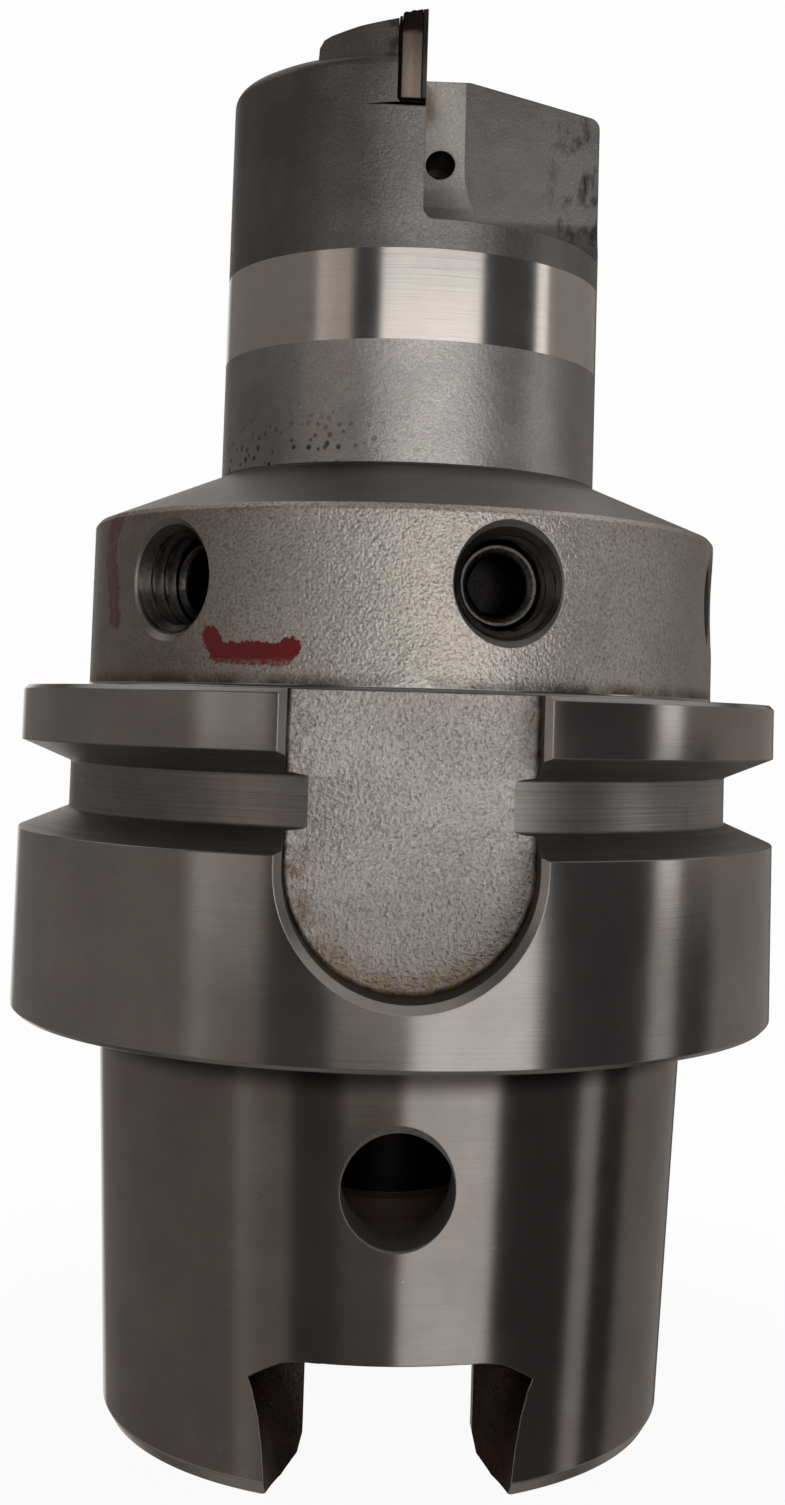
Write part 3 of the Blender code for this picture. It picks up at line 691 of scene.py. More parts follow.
def add_soot(finish):
    """Dark smoke marks beside each brazed joint."""
    near = finish.fit(finish.across(), -4.4, -2.4, smooth=True)
    high = finish.fit(finish.z, 74.5, 78.0, smooth=True)
    patchy = finish.fit(finish.noise(0.8, 15.0), 0.35, 0.6, 0.3, 1.0)
    finish.overlay((0.012, 0.010, 0.009), near, high, patchy, 0.85)


def weather_and_shade_upper_head(finish):
    # Painted shade at the sides, and soot beside the joints.
    paint_side_shade(finish, (0.10, 0.097, 0.095), 0.65, 0.3)
    add_soot(finish)


def weather_and_shade_head(finish):
    """Painted shade at the sides, and black flecks low on the left."""
    paint_side_shade(finish, (0.22, 0.21, 0.205), 0.75, 0.7)
    low = finish.fit(finish.z, HEAD_BOTTOM + 5.0, HEAD_BOTTOM)
    left = finish.fit(finish.x, 2.0, -6.0)
    flecks = finish.fit(finish.cells(1.3), 0.34, 0.24)
    clumps = finish.fit(finish.noise(0.6, 4.0), 0.34, 0.46)
    finish.overlay((0.006, 0.006, 0.006), low, left, flecks, clumps)


def shade_cone(finish):
    # Painted shade at the sides, and a painted shadow in a band just under the head.
    paint_side_shade(finish, (0.18, 0.165, 0.155), 0.8, 0.2)
    under_head_shadow = finish.fit(finish.z, HEAD_BOTTOM - 1.6, HEAD_BOTTOM, smooth=True)
    finish.overlay((0.03, 0.026, 0.024), under_head_shadow, 0.6)


def weather_shade_and_highlight_collar(finish):
    """Paint marks, dirt along the collar's foot, a painted highlight on the lip above the wide slot, and
    painted shade at the sides.
    """
    paint_side_shade(finish, (0.22, 0.19, 0.175), 0.7, 0.6)
    add_pen_marks(finish)
    foot = finish.fit(finish.z, FLANGE_HEIGHT + 1.5, FLANGE_HEIGHT + 0.3, smooth=True)
    dirt_and_shade_patches = finish.fit(finish.noise(0.35, 31.0), 0.35, 0.6, 0.35, 0.9)
    finish.overlay((0.075, 0.055, 0.042), foot, dirt_and_shade_patches)
    # A painted highlight on the lip above the wide slot, made patchy by noise.
    arch = finish.calc("MULTIPLY_ADD", finish.z, 2.2, finish.calc("ABSOLUTE", finish.x))
    front = finish.fit(finish.y, -20.0, -22.0)
    lip_highlight_patches = finish.fit(finish.noise(1.6, 33.0, stretch=(0.6, 1.0, 2.0)), 0.35, 0.55, 0.3, 1.0)
    finish.overlay((0.85, 0.82, 0.78), finish.fit(arch, 60.6, 59.4), front, lip_highlight_patches)
    # Painted reddish shade on the left side.
    paint_side_shade(finish, (0.16, 0.10, 0.088), 0.4, 0.0)


def shade_under_flange(finish):
    """A painted shadow: a dark band in the corner under the flange."""
    corner = finish.fit(finish.z, -3.4, -1.5, smooth=True)
    finish.overlay((0.02, 0.017, 0.016), corner, 0.85)


def shade_groove_sides(finish):
    # Painted shade at the sides.
    paint_side_shade(finish, (0.15, 0.14, 0.135), 0.65, 0.0)


def weather_and_shade_slot_floor(finish):
    """A darker foot, with rust and crust along the drive slot's walls, and painted shade in the crease where
    the floor meets them.
    """
    low = finish.fit(finish.z, 17.0, 9.0, smooth=True)
    finish.overlay((0.24, 0.225, 0.22), low, 0.4)
    centre = SLOT_BOTTOM + SLOT_WIDTHS[0] / 2
    drop = finish.calc("MINIMUM", finish.calc("SUBTRACT", finish.z, centre), 0.0)
    reach = finish.distance(finish.x, drop)
    edge = finish.fit(reach, 6.2, 8.6, smooth=True)
    patch = finish.fit(finish.noise(0.8, 60.0, 5.0, 0.7), 0.40, 0.62)
    left = finish.fit(finish.x, 8.0, -6.0, 0.35, 1.0)
    finish.overlay((0.20, 0.13, 0.07), edge, patch, left, 0.75)
    dirt_and_shade_patches = finish.fit(finish.noise(0.45, 63.0), 0.35, 0.6, 0.35, 1.0)
    # Painted shade in the crease where the floor meets the walls, made patchy by noise.
    finish.overlay((0.03, 0.022, 0.018), finish.fit(reach, 8.6, 8.95), dirt_and_shade_patches)
    crust = finish.fit(finish.noise(1.1, 66.0, roughness=0.65), 0.36, 0.6, 0.1, 1.0)
    low = finish.fit(finish.z, 9.0, 6.0)
    finish.overlay((0.42, 0.34, 0.20), crust, low, finish.fit(reach, 7.3, 8.1), 0.75)
    dots = finish.fit(finish.cells(0.9), 0.09, 0.05)
    sparse = finish.fit(finish.noise(0.4, 68.0, 2.0, 0.5), 0.5, 0.6)
    finish.overlay((0.22, 0.12, 0.05), dots, sparse, 0.6)


def weather_keyway(finish):
    finish.overlay((0.09, 0.045, 0.038), finish.fit(finish.noise(0.5, 8.0, 4.0), 0.45, 0.7), 0.7)


def weather_and_shade_gullet(finish):
    """Sooty blotches towards the rim, and painted shade at the foot."""
    soot = finish.fit(finish.noise(0.55, 14.0, 4.0, 0.65, stretch=(1.0, 1.0, 0.5)), 0.52, 0.66)
    side = finish.fit(finish.calc("ABSOLUTE", finish.x), 10.0, 14.0, smooth=True)
    finish.overlay((0.02, 0.019, 0.018), soot, side, 0.8)
    # Painted shade towards the foot.
    low = finish.fit(finish.z, 67.0, 64.0, smooth=True)
    finish.overlay((0.06, 0.057, 0.055), low, 0.35)


def weather_relief(finish):
    """Rust beside the tooth, and shade towards the foot."""
    near = finish.fit(finish.calc("ABSOLUTE", finish.x), 2.6, 0.5, smooth=True)
    high = finish.fit(finish.z, 73.5, 77.5, smooth=True)
    tint = finish.fit(finish.noise(0.8, 17.0, stretch=(1.0, 1.0, 0.45)), 0.35, 0.6)
    finish.overlay((0.17, 0.105, 0.065), near, high, tint, 0.75)
    shade = finish.fit(finish.z, 73.0, 66.0, smooth=True)
    finish.overlay((0.15, 0.145, 0.14), shade, 0.85)


def brush_mark(finish, path, half_width, wobble):
    """1 inside a brushed line along a path of (millimetres round the collar, height)."""
    along = finish.times(finish.azimuth(finish.x, finish.y), math.radians(COLLAR_RADIUS))
    nearest = 100.0
    for (x, z), (next_x, next_z) in zip(path, path[1:]):
        run, rise = next_x - x, next_z - z
        right = finish.calc("SUBTRACT", along, x)
        up = finish.calc("SUBTRACT", finish.z, z)
        dot = finish.calc("ADD", finish.times(right, run), finish.times(up, rise))
        share = finish.fit(dot, 0.0, run * run + rise * rise)
        right = finish.calc("SUBTRACT", right, finish.times(share, run))
        up = finish.calc("SUBTRACT", up, finish.times(share, rise))
        nearest = finish.calc("MINIMUM", finish.distance(right, up), nearest)
    ragged = finish.calc("ADD", finish.noise(0.8, 40.0, 2.0, 0.5), finish.noise(4.5, 43.0, 1.0, 0.5))
    nearest = finish.calc("MULTIPLY_ADD", ragged, wobble, finish.calc("SUBTRACT", nearest, wobble))
    return finish.fit(nearest, half_width + 0.05, half_width - 0.05)


def add_pen_marks(finish):
    """A hand-drawn stroke of red paint pen under the left balance hole, and an old smear at its left."""
    stroke = brush_mark(finish, PEN_STROKE, 0.85, 0.5)
    dry = finish.fit(finish.noise(5.0, 44.0), 0.38, 0.56, 0.45, 0.95)
    patchy_wear_and_shade = finish.fit(finish.z, 27.5, 28.2)
    ink = finish.times(stroke, finish.calc("MAXIMUM", dry, patchy_wear_and_shade))
    finish.overlay((0.30, 0.028, 0.03), ink)
    smear = brush_mark(finish, PEN_SMEAR, 1.15, 1.3)
    smear = finish.times(smear, finish.fit(finish.noise(1.2, 55.0, 4.0), 0.3, 0.55, 0.5, 0.95))
    finish.overlay((0.22, 0.035, 0.035), smear)
    painted = finish.calc("MAXIMUM", ink, smear)
    finish.set(Metallic=finish.fit(painted, 0.0, 1.0, 1.0, 0.45))


def weather_carbide(finish):
    """A darker front edge, and the black heat mark at the top."""
    finish.overlay((0.13, 0.105, 0.09), finish.fit(finish.across(), -1.5, -0.9, 0.0, 0.55, smooth=True))
    patchy_wear_and_shade = finish.noise(1.2, 71.0, 4.0, 0.65)
    top = finish.calc("ADD", finish.z, finish.times(patchy_wear_and_shade, 0.5))
    finish.overlay((0.035, 0.025, 0.023), finish.fit(top, 78.15, 78.7))


SMALL_FINISHES = {
    "carbide": (pitted_steel, (0.33, 0.265, 0.215), 0.42, 0.25, 0.010, 0.25),
    "diamond": (pitted_steel, (0.02, 0.02, 0.021), 0.28, 0.15, 0.004),
    "braze": (pitted_steel, (0.022, 0.016, 0.013), 0.6, 0.2, 0.03),
    "screw": (pitted_steel, (0.014, 0.013, 0.013), 0.34, 0.25, 0.008),
    "screw_face": (pitted_steel, (0.12, 0.115, 0.11), 0.3, 0.3, 0.02),
    # neck's near-black base is painted shade on the tube above its polished land.
    "neck": (turned_steel, (0.03, 0.027, 0.026), 0.5, 0.8),
    "tube_land": (turned_steel, (0.27, 0.19, 0.165), 0.5, 0.5),
    "nut": (turned_steel, (0.07, 0.066, 0.062), 0.45, 0.7),
    "rubber": (blasted_steel, (0.018, 0.018, 0.018), 0.7, 0.01, 0.2, 2.5),
}


def make_finishes(table):
    return {name: builder(name, *settings) for name, (builder, *settings) in table.items()}


def small_materials():
    """The materials of the smaller pieces."""
    finishes = make_finishes(SMALL_FINISHES)
    weather_carbide(finishes["carbide"])
    for name, metallic in (("diamond", 0.0), ("tube_land", 0.3), ("rubber", 0.0)):
        finishes[name].set(Metallic=metallic)
    return {name: finish.material for name, finish in finishes.items()}


def body_materials():
    """The tool body's materials by region, with their wear, dirt, painted shade and painted highlights."""
    finishes = make_finishes(BODY_FINISHES)
    weather_and_shade_upper_head(finishes["upper_head"])
    weather_and_shade_head(finishes["head"])
    add_soot(finishes["land"])
    shade_cone(finishes["cone"])
    weather_shade_and_highlight_collar(finishes["collar"])
    shade_under_flange(finishes["shank"])
    shade_groove_sides(finishes["groove"])
    weather_and_shade_slot_floor(finishes["slot_floor"])
    weather_keyway(finishes["keyway"])
    weather_and_shade_gullet(finishes["gullet"])
    weather_relief(finishes["relief"])
    finishes["bore"].set(Metallic=0.0)
    return {name: finish.material for name, finish in finishes.items()}


# ---------------------------------------------------------------- the tool body


def head_lift(radius, height, angle):
    """The end face rises a little in front of each tooth, most at the rim."""
    if height < HEAD_RIM - HEAD_LIFT_DEPTH or radius < 1.0:
        return 0.0
    least, more = HEAD_LIFTS
    highest, fade = HEAD_LIFT_ANGLES
    behind = (-math.degrees(angle) - 90.0) % 180.0
    ahead = max(0.0, 1.0 - abs(behind - highest) / fade)
    share = clamp((radius - HEAD_CENTRE_RADIUS) / (HEAD_RADIUS - HEAD_CENTRE_RADIUS))
    below_rim = clamp((height - HEAD_RIM + HEAD_LIFT_DEPTH) / 1.5)
    return (least + more * ahead) * share * below_rim


def shank_radius(height):
    """The taper's radius at a height."""
    return GAUGE_RADIUS + (height - GAUGE_HEIGHT) * 0.5 / TAPER


def make_shell():
    """The turned shape of the tool body, with its hollow shank and coolant gallery."""
    root = shank_radius(0.0)
    low_mouth, low_flat, high_flat, high_mouth = GROOVE_EDGES
    corners = [
        (0.0, HEAD_CENTRE_TOP, 0, "head_end"),
        (HEAD_CENTRE_RADIUS, HEAD_CENTRE_TOP, 1.5, "head_end"),
        (HEAD_RADIUS, HEAD_RIM - 0.4, 1.1, "upper_head"),
        (HEAD_RADIUS, BAND_TOP, 0, "band"),
        (HEAD_RADIUS, BAND_BOTTOM, 0, "head"),
        (HEAD_RADIUS, HEAD_BOTTOM, 0.25, "cone"),
        (COLLAR_RADIUS - EDGE_BREAK, COLLAR_TOP, 0.2, "collar"),
        (COLLAR_RADIUS, COLLAR_TOP - 0.43, 0.3, "collar"),
        (COLLAR_RADIUS, FLANGE_HEIGHT, 0.35, "flange"),
        (FLANGE_RADIUS - EDGE_BREAK, FLANGE_HEIGHT, 0.08, "flange"),
        (FLANGE_RADIUS, FLANGE_HEIGHT - EDGE_BREAK, 0.08, "flange"),
        (FLANGE_RADIUS, high_mouth, 0.12, "flank"),
        (GROOVE_RADIUS, high_flat, 0.25, "groove"),
        (GROOVE_RADIUS, low_flat, 0.25, "flank"),
        (FLANGE_RADIUS, low_mouth, 0.12, "flange"),
        (FLANGE_RADIUS, EDGE_BREAK, 0.08, "flange"),
        (FLANGE_RADIUS - EDGE_BREAK, 0.0, 0.08, "flange"),
        (root + 0.6, 0.0, 0.05, "hollow"),
        (root + 0.25, 0.35, 0.08, "hollow"),
        (root - 0.35, 0.35, 0.12, "hollow"),
        (root - 0.6, -0.35, 0.1, "hollow"),
        (shank_radius(-1.2), -1.2, 0.1, "shank"),
        (shank_radius(SHANK_END + 1.0), SHANK_END + 1.0, 0.5, "edge"),
        (SHANK_END_RADIUS, SHANK_END, 0.15, "edge"),
        (BORE_RADIUS + 0.6, SHANK_END, 0.1, "hollow"),
        (BORE_RADIUS, SHANK_END + 0.6, 0.2, "hollow"),
        (BORE_RADIUS, CLAMPING_SHOULDER - 0.87, 0.2, "hollow"),
        (UNDERCUT_RADIUS, CLAMPING_SHOULDER, 0.3, "hollow"),
        (UNDERCUT_RADIUS, UNDERCUT_TOP, 1.0, "hollow"),
        (NUT_SEAT_RADIUS, UNDERCUT_TOP, 0.8, "hollow"),
        (NUT_SEAT_RADIUS, NUT_SEAT_TOP, 0.1, "hollow"),
        (TUBE_CHAMBER_RADIUS, NUT_SEAT_TOP, 0.1, "hollow"),
        (TUBE_CHAMBER_RADIUS, TUBE_CHAMBER_TOP, 0.2, "hollow"),
        (GALLERY_RADIUS, TUBE_CHAMBER_TOP, 0.2, "hollow"),
        (GALLERY_RADIUS, GALLERY_TOP, 0.3, "hollow"),
        (0.0, GALLERY_TOP + 1.5, 0, "hollow"),
    ]
    return split_bent_faces(lathe("mill_body", corners, TURN_STEPS, MATERIALS, lift=head_lift))


def slot_outline(half, inset, top):
    """The round-bottomed drive slot, as (x, z)."""
    centre = (0.0, SLOT_BOTTOM + half)
    return [(half - inset, top), (inset - half, top)] + arc(centre, half - inset, 180, 360, 48)


def drive_slot_cutters(half):
    """The slot with a small fillet round its floor, and the chamfer on its outer edge."""
    top = FLANGE_HEIGHT + 1.5
    rings = [[(x, -FLANGE_RADIUS - 3.0, z) for x, z in slot_outline(half, 0.0, top)]]
    for down, along in arc((0.0, 0.0), SLOT_FILLET, 0, 90, 6):
        inset = SLOT_FILLET - down
        depth = -SLOT_FLOOR - SLOT_FILLET + along
        rings.append([(x, depth, z) for x, z in slot_outline(half, inset, top)])
    slot = loft("drive_slot", rings, MATERIALS["slot_wall"])
    paint(slot, MATERIALS["slot_floor"], lambda face: face.center.y > -SLOT_FLOOR - SLOT_FILLET - 0.01)
    edge, wall, skin = [], [], []
    straight = [(half, z) for z in (top, 24.0, 20.0, 16.0)]
    bottom = [(x, z) for x, z in reversed(arc((0.0, SLOT_BOTTOM + half), half, 180, 360, 48))]
    for x, z in straight + bottom + [(-x, z) for x, z in reversed(straight)]:
        azimuth = math.asin(x / FLANGE_RADIUS)
        edge.append(Vector((x, -FLANGE_RADIUS * math.cos(azimuth), z)))
        out = Vector((x, min(0.0, z - SLOT_BOTTOM - half))).normalized()
        wall.append(Vector((0.0, 1.0, 0.0)))
        skin.append(Vector((out.x * math.cos(azimuth), out.x * math.sin(azimuth), out.y)).normalized())
    return slot, chamfer_cutter("drive_slot_edge", edge, wall, skin, SLOT_CHAMFER, MATERIALS["edge"])


def end_slot_cutters():
    """The drive slot across one wall of the shank's end, and its milled flare."""
    half = END_SLOT_HALF
    flare_foot = ((4.2, -0.6), (2.4, 0.2), (1.45, 0.75), (0.35, 2.0), (0.0, 3.4))
    outline = [(half + wider, SHANK_END + up) for wider, up in flare_foot]
    outline += arc((half - END_SLOT_CORNER, END_SLOT_TOP - END_SLOT_CORNER), END_SLOT_CORNER, 0, 90, 8)
    outline += [(-x, z) for x, z in reversed(outline)]
    slot = prism("shank_end_slot", outline, -27.0, -13.0, MATERIALS["keyway"])
    rings = []
    for level, wide in END_FLARE:
        inset = 0.5 * clamp((level + 23.0) / 0.9)
        inner = Vector((half, -17.6 - inset))
        outer = Vector((wide, -math.sqrt(shank_radius(level) ** 2 - wide ** 2)))
        line = outer - inner
        bow = Vector((-line.y, line.x)).normalized() * 0.12 * line.length
        side = [inner + Vector((-1.0, 0.1))]
        for step in range(13):
            share = step / 12
            side.append(inner + line * share + bow * 4 * share * (1 - share))
        side.append(outer + line * 0.7)
        section = [(p.x, p.y, level) for p in side]
        section += [(-p.x, p.y, level) for p in reversed(side)]
        rings.append(section)
    return slot, loft("shank_end_flare", rings, MATERIALS["keyway"])


def cross_hole_cutters():
    """The hole across the shank, and the small countersink at each of its mouths."""
    radius = CROSS_HOLE_RADIUS
    height = CROSS_HOLE_HEIGHT
    bore = MATERIALS["bore"]
    hole = rod("cross_hole", (0, -28, height), (0, 28, height), radius, bore, 96)
    start = math.sqrt(shank_radius(height) ** 2 - radius ** 2)
    mouths = []
    for side in (-1, 1):
        inner = (0, side * (start - 0.1), height)
        outer = (0, side * (start + CROSS_HOLE_MOUTH), height)
        mouth = rod("cross_hole_mouth", inner, outer, radius - 0.1, bore, 96, radius + CROSS_HOLE_MOUTH)
        mouths.append(mouth)
    return hole, mouths


def thread_radius(depth, angle, radii, phase):
    """Radius of a right-hand vee thread at a depth and an angle round its axis."""
    turns = depth / THREAD_PITCH - angle / (2 * math.pi) + phase
    share = abs((turns % 1.0) * 2 - 1)
    return radii[0] + (radii[1] - radii[0]) * clamp((share - THREAD_FLAT) / (1 - 2 * THREAD_FLAT))


def helical_bar(name, length, radii, limit, material, phase, steps=48):
    """A threaded bar down local -Z from the origin. limit(depth, radius) trims its ends."""
    count = int(round(length / THREAD_PITCH * THREAD_RINGS))
    rings = []
    for index in range(count + 1):
        depth = length * index / count
        ring = []
        for step in range(steps):
            angle = 2 * math.pi * step / steps
            radius = limit(depth, thread_radius(depth, angle, radii, phase))
            ring.append((radius * math.cos(angle), radius * math.sin(angle), -depth))
        rings.append(ring)
    return loft(name, rings, material)


def place_in_collar(obj, distance, degrees):
    """Turns local +Z to point out of the collar, at a distance from the axis."""
    turn = Matrix.Rotation(math.radians(degrees), 4, "Z")
    lean = Matrix.Rotation(math.radians(90), 4, "X")
    shift = Matrix.Translation((0.0, 0.0, distance))
    height = Matrix.Translation((0.0, 0.0, BALANCE_HEIGHT))
    obj.data.transform(height @ turn @ lean @ shift)
    return obj


def balance_hole_cutter(degrees):
    """A threaded hole with a wide countersink and a drill point."""
    length = COLLAR_RADIUS - HOLE_END + HOLE_START

    def limit(depth, radius):
        sink = BALANCE_SINK_RADIUS - (depth - HOLE_START)
        point = (length - depth) / math.tan(DRILL_POINT)
        return max(0.02, min(max(sink, radius), point))

    hole = helical_bar("balance_hole", length, THREAD_HOLE_RADII, limit, MATERIALS["hole"],
                       -HOLE_START / THREAD_PITCH)
    sink_end = HOLE_START + BALANCE_SINK_RADIUS - THREAD_HOLE_RADII[1]
    paint(hole, MATERIALS["sink"], lambda face: face.center.z > 0.1 - sink_end)
    return place_in_collar(hole, COLLAR_RADIUS + HOLE_START, degrees)


def gullet_outline(inset):
    """The gullet's (y, z) section: a flat floor, a large rounding and the back wall."""
    above = TIP_TOP + BEYOND
    outside = -HEAD_RADIUS - 2 * BEYOND
    floor = GULLET_FLOOR + inset
    back = GULLET_BACK - inset
    centre = (back - GULLET_ROUNDING, floor + GULLET_ROUNDING)
    return [(outside, above), (outside, floor), *arc(centre, GULLET_ROUNDING, -90, 0, 40), (back, above)]


def gullet_cutters():
    """The gullet with a rounded inner corner, its relief strip and its coolant outlet."""
    rings = []
    for inwards, upwards in arc((0.0, 0.0), GULLET_CORNER, 0, 90, 6):
        across = GULLET_SIDE + GULLET_CORNER - inwards
        rings.append([(across, y, z) for y, z in gullet_outline(GULLET_CORNER - upwards)])
    rings.append([(HEAD_RADIUS + 3.0, y, z) for y, z in gullet_outline(0.0)])
    gullet = loft("gullet", rings, MATERIALS["gullet"])
    section = []
    span = GULLET_RELIEF[-1][0] - GULLET_RELIEF[0][0]
    levels = [GULLET_RELIEF[0][0] + step * RELIEF_STEP for step in range(round(span / RELIEF_STEP) + 1)]
    for level, recess in zip(levels, np.interp(levels, *zip(*GULLET_RELIEF))):
        far = GULLET_RELIEF_END + 0.06 * max(0.0, 72.4 - level) ** 2
        nearest = GULLET_BACK - 6.0
        section.append([
            (GULLET_SIDE + 0.01, nearest, level),
            (far + 1.0, nearest, level),
            (far + 1.0, GULLET_BACK - recess / far, level),
            (GULLET_SIDE + 0.01, GULLET_BACK + recess, level),
        ])
    relief = loft("gullet_relief", section, MATERIALS["relief"])
    across, height = COOLANT_OUTLET
    radius = COOLANT_OUTLET_RADIUS
    hole = MATERIALS["hole"]
    outlet = rod("coolant_outlet", (across, -4.0, height), (across, 5.2, height), radius, hole, 48)
    branch = rod("coolant_branch", COOLANT_BRANCH_START, (across, 5.0, height + 0.6), radius, hole, 32)
    return gullet, relief, outlet, branch


def tip_seat_cutters():
    """The pocket that the tooth is brazed into, and the scorched slit below it."""
    joint = BRAZE_THICKNESS + 0.06
    outside = -TIP_OUTER - BEYOND
    outline = [
        (GULLET_SIDE + 1.0, TIP_BOTTOM - joint),
        (TIP_BACK - joint + 0.25, TIP_BOTTOM - joint),
        (TIP_BACK - joint, TIP_BOTTOM - joint + 0.3),
        (TIP_BACK - joint, TIP_TOP + BEYOND),
        (GULLET_SIDE + 1.0, TIP_TOP + BEYOND),
    ]
    seat = prism("tip_seat", outline, outside, -TIP_INNER + 0.3, MATERIALS["seat"])
    return seat, prism("scorched_slit", SCORCHED_SLIT, outside, -15.1, MATERIALS["seat"])


def make_land(degrees):
    """The raised land behind one tooth, its outer side on a circle about the axis."""
    front = TIP_BACK + 1.0
    outline = [
        (LAND_END - 0.25, LAND_BOTTOM),
        (LAND_END, 77.6),
        (LAND_END + 0.35, LAND_TOP_AT_END - 0.25),
        (LAND_END + 0.9, LAND_TOP_AT_END),
        (-5.4, 79.02),
        (front, LAND_TOP_AT_TIP + 0.15),
        (front, LAND_BOTTOM),
    ]
    land = prism("land", outline, -HEAD_RADIUS - BEYOND, -9.6, MATERIALS["land"])
    ends = (0, 0, LAND_BOTTOM - BEYOND), (0, 0, 84.0)
    barrel = rod("land_barrel", *ends, LAND_RADIUS, MATERIALS["land"], LAND_STEPS)
    return turned(combine(land, [barrel], "INTERSECT"), degrees)


def make_body():
    """The tool body. Its cuts run in this order because the solver leaves open edges in other orders."""
    body = make_shell()
    combine(body, [make_land(0), make_land(180)], "UNION")
    cross_hole, later = cross_hole_cutters()
    seats, first, outlets, branches = [], [cross_hole], [], []
    for width, degrees in zip(SLOT_WIDTHS, (0, 180)):
        slot, chamfer = drive_slot_cutters(width / 2)
        end_slot, flare = end_slot_cutters()
        gullet, relief, outlet, branch = gullet_cutters()
        seat, slit = tip_seat_cutters()
        for cutter in (slot, chamfer, end_slot, flare, gullet, relief, outlet, branch, seat, slit):
            turned(cutter, degrees)
        seats.append(seat)
        first += [slot, end_slot, gullet]
        later += [chamfer, flare, relief, slit]
        outlets.append(outlet)
        branches.append(branch)
    first += [balance_hole_cutter(degrees) for degrees in BALANCE_ANGLES]
    for stage in (seats, first, later, outlets):
        combine(body, [joined("cuts", stage)])
    combine(body, branches)
    tidy(body)
    turned_regions = ("upper_head", "head", "band", "cone", "collar", "flange", "shank", "groove", "flank")
    smooth_turned_faces(body, [MATERIALS[name] for name in turned_regions])
    finish_piece(body, BODY, "tool_body")


# ---------------------------------------------------------------- the other pieces


def make_block(name, outline, material, edge):
    """A small ground block with broken edges: an (x, z) outline as wide as a tooth."""
    block = prism(name, outline, -TIP_OUTER, -TIP_INNER, material)
    with editing(block) as shape:
        bmesh.ops.bevel(shape, geom=shape.edges[:], offset=edge, segments=2, profile=0.5, affect="EDGES")
    return tidy(block, 35)


def tip_height(x):
    """The tooth's top edge falls a little towards its back."""
    return TIP_TOP - TIP_FALL * (TIP_RAKE - x) / (TIP_RAKE - TIP_BACK)


def make_tooth(side, degrees):
    """One tooth: a carbide block, its diamond layer and the braze round its foot."""
    layer_back = TIP_RAKE - DIAMOND_THICKNESS
    front = layer_back - JOINT_GAP
    block = [(TIP_BACK, TIP_BOTTOM), (front, TIP_BOTTOM), (front, tip_height(front))]
    block += [(x, tip_height(x) - drop) for x, drop in TIP_CHIPS]
    block += [(TIP_BACK + 0.1, tip_height(TIP_BACK) - 0.12), (TIP_BACK, tip_height(TIP_BACK) - 0.3)]
    tip = make_block(side + "_tip_block", block, SMALL["carbide"], 0.05)
    finish_piece(turned(tip, degrees), BODY, side + "_carbide_tip")
    layer = [(layer_back, TIP_BOTTOM), (TIP_RAKE, TIP_BOTTOM)]
    layer += [(TIP_RAKE, TIP_TOP), (layer_back, tip_height(layer_back))]
    cap = make_block(side + "_tip_diamond", layer, SMALL["diamond"], 0.03)
    finish_piece(turned(cap, degrees), BODY, side + "_diamond_layer")
    high = TIP_BOTTOM - JOINT_GAP
    low = high - BRAZE_THICKNESS
    front = TIP_BACK - JOINT_GAP
    back = front - BRAZE_THICKNESS
    outline = [(TIP_RAKE, low), (back + 0.25, low), (back, low + 0.3), (back, BRAZE_TOP - 0.07)]
    outline += [(back + 0.05, BRAZE_TOP - 0.01), (front, BRAZE_TOP), (front, high), (TIP_RAKE, high)]
    seam = prism(side + "_tip_braze", outline, -LAND_RADIUS, -TIP_INNER, SMALL["braze"])
    finish_piece(turned(tidy(seam), degrees), BODY, side + "_braze_joint")


def make_screw(number, depth):
    """A threaded headless screw with a bevelled face and a hexagon socket."""

    def limit(down, radius):
        lead = SCREW_LEAD_RADIUS + down * SCREW_CHAMFER_SLOPE
        tail = SCREW_TAIL_RADIUS + (SCREW_LENGTH - down) * SCREW_CHAMFER_SLOPE
        return min(radius, lead, tail)

    name = f"screw_{number + 1}"
    skin, end = SMALL["screw"], SMALL["screw_face"]
    screw = helical_bar(name, SCREW_LENGTH, THREAD_SCREW_RADII, limit, skin, depth / THREAD_PITCH)
    paint(screw, end, lambda face: len(face.vertices) > 4 and face.center.z > -0.01)
    corner = SOCKET_FLATS / 2 / math.cos(math.radians(30))
    cuts = (
        rod("socket", (0, 0, -SOCKET_DEPTH), (0, 0, 1.0), corner, skin, 6),
        rod("socket_lead", (0, 0, -1.1), (0, 0, -0.15), 1.95, skin, end_radius=2.42),
        rod("socket_mouth", (0, 0, -0.28), (0, 0, 0.17), 2.35, end, end_radius=3.05),
    )
    for cut in cuts:
        combine(screw, [cut])
    place_in_collar(screw, COLLAR_RADIUS - depth, BALANCE_ANGLES[number])
    finish_piece(tidy(screw, 32), "balance_" + name, "balance_" + name)


def make_tube():
    """The coolant tube, with a grooved collar at its top for the seal ring."""
    corners = [
        (4.0, 12.6, 0.2, "neck"),
        (7.35, 12.6, 0.25, "neck"),
        (7.35, 11.2, 0.1, "neck"),
        (5.9, 11.2, 0.1, "neck"),
        (5.9, 9.3, 0.1, "neck"),
        (7.35, 9.3, 0.1, "neck"),
        (7.35, 7.6, 0.25, "neck"),
        (5.6, 7.6, 0.3, "neck"),
        (5.6, -14.3, 0.1, "tube_land"),
        (6.0, -14.7, 0.12, "tube_land"),
        (6.0, -25.0, 0.3, "tube_land"),
        (5.0, -26.0, 0.1, "neck"),
        (4.0, -26.0, 0.2, "neck"),
    ]
    materials = {name: SMALL[name] for name in ("neck", "tube_land")}
    tube = face_outwards(lathe("coolant_tube_turned", corners, 160, materials, closed=True))
    smooth_turned_faces(tidy(tube), materials.values())
    finish_piece(tube, "coolant_tube", "coolant_tube")


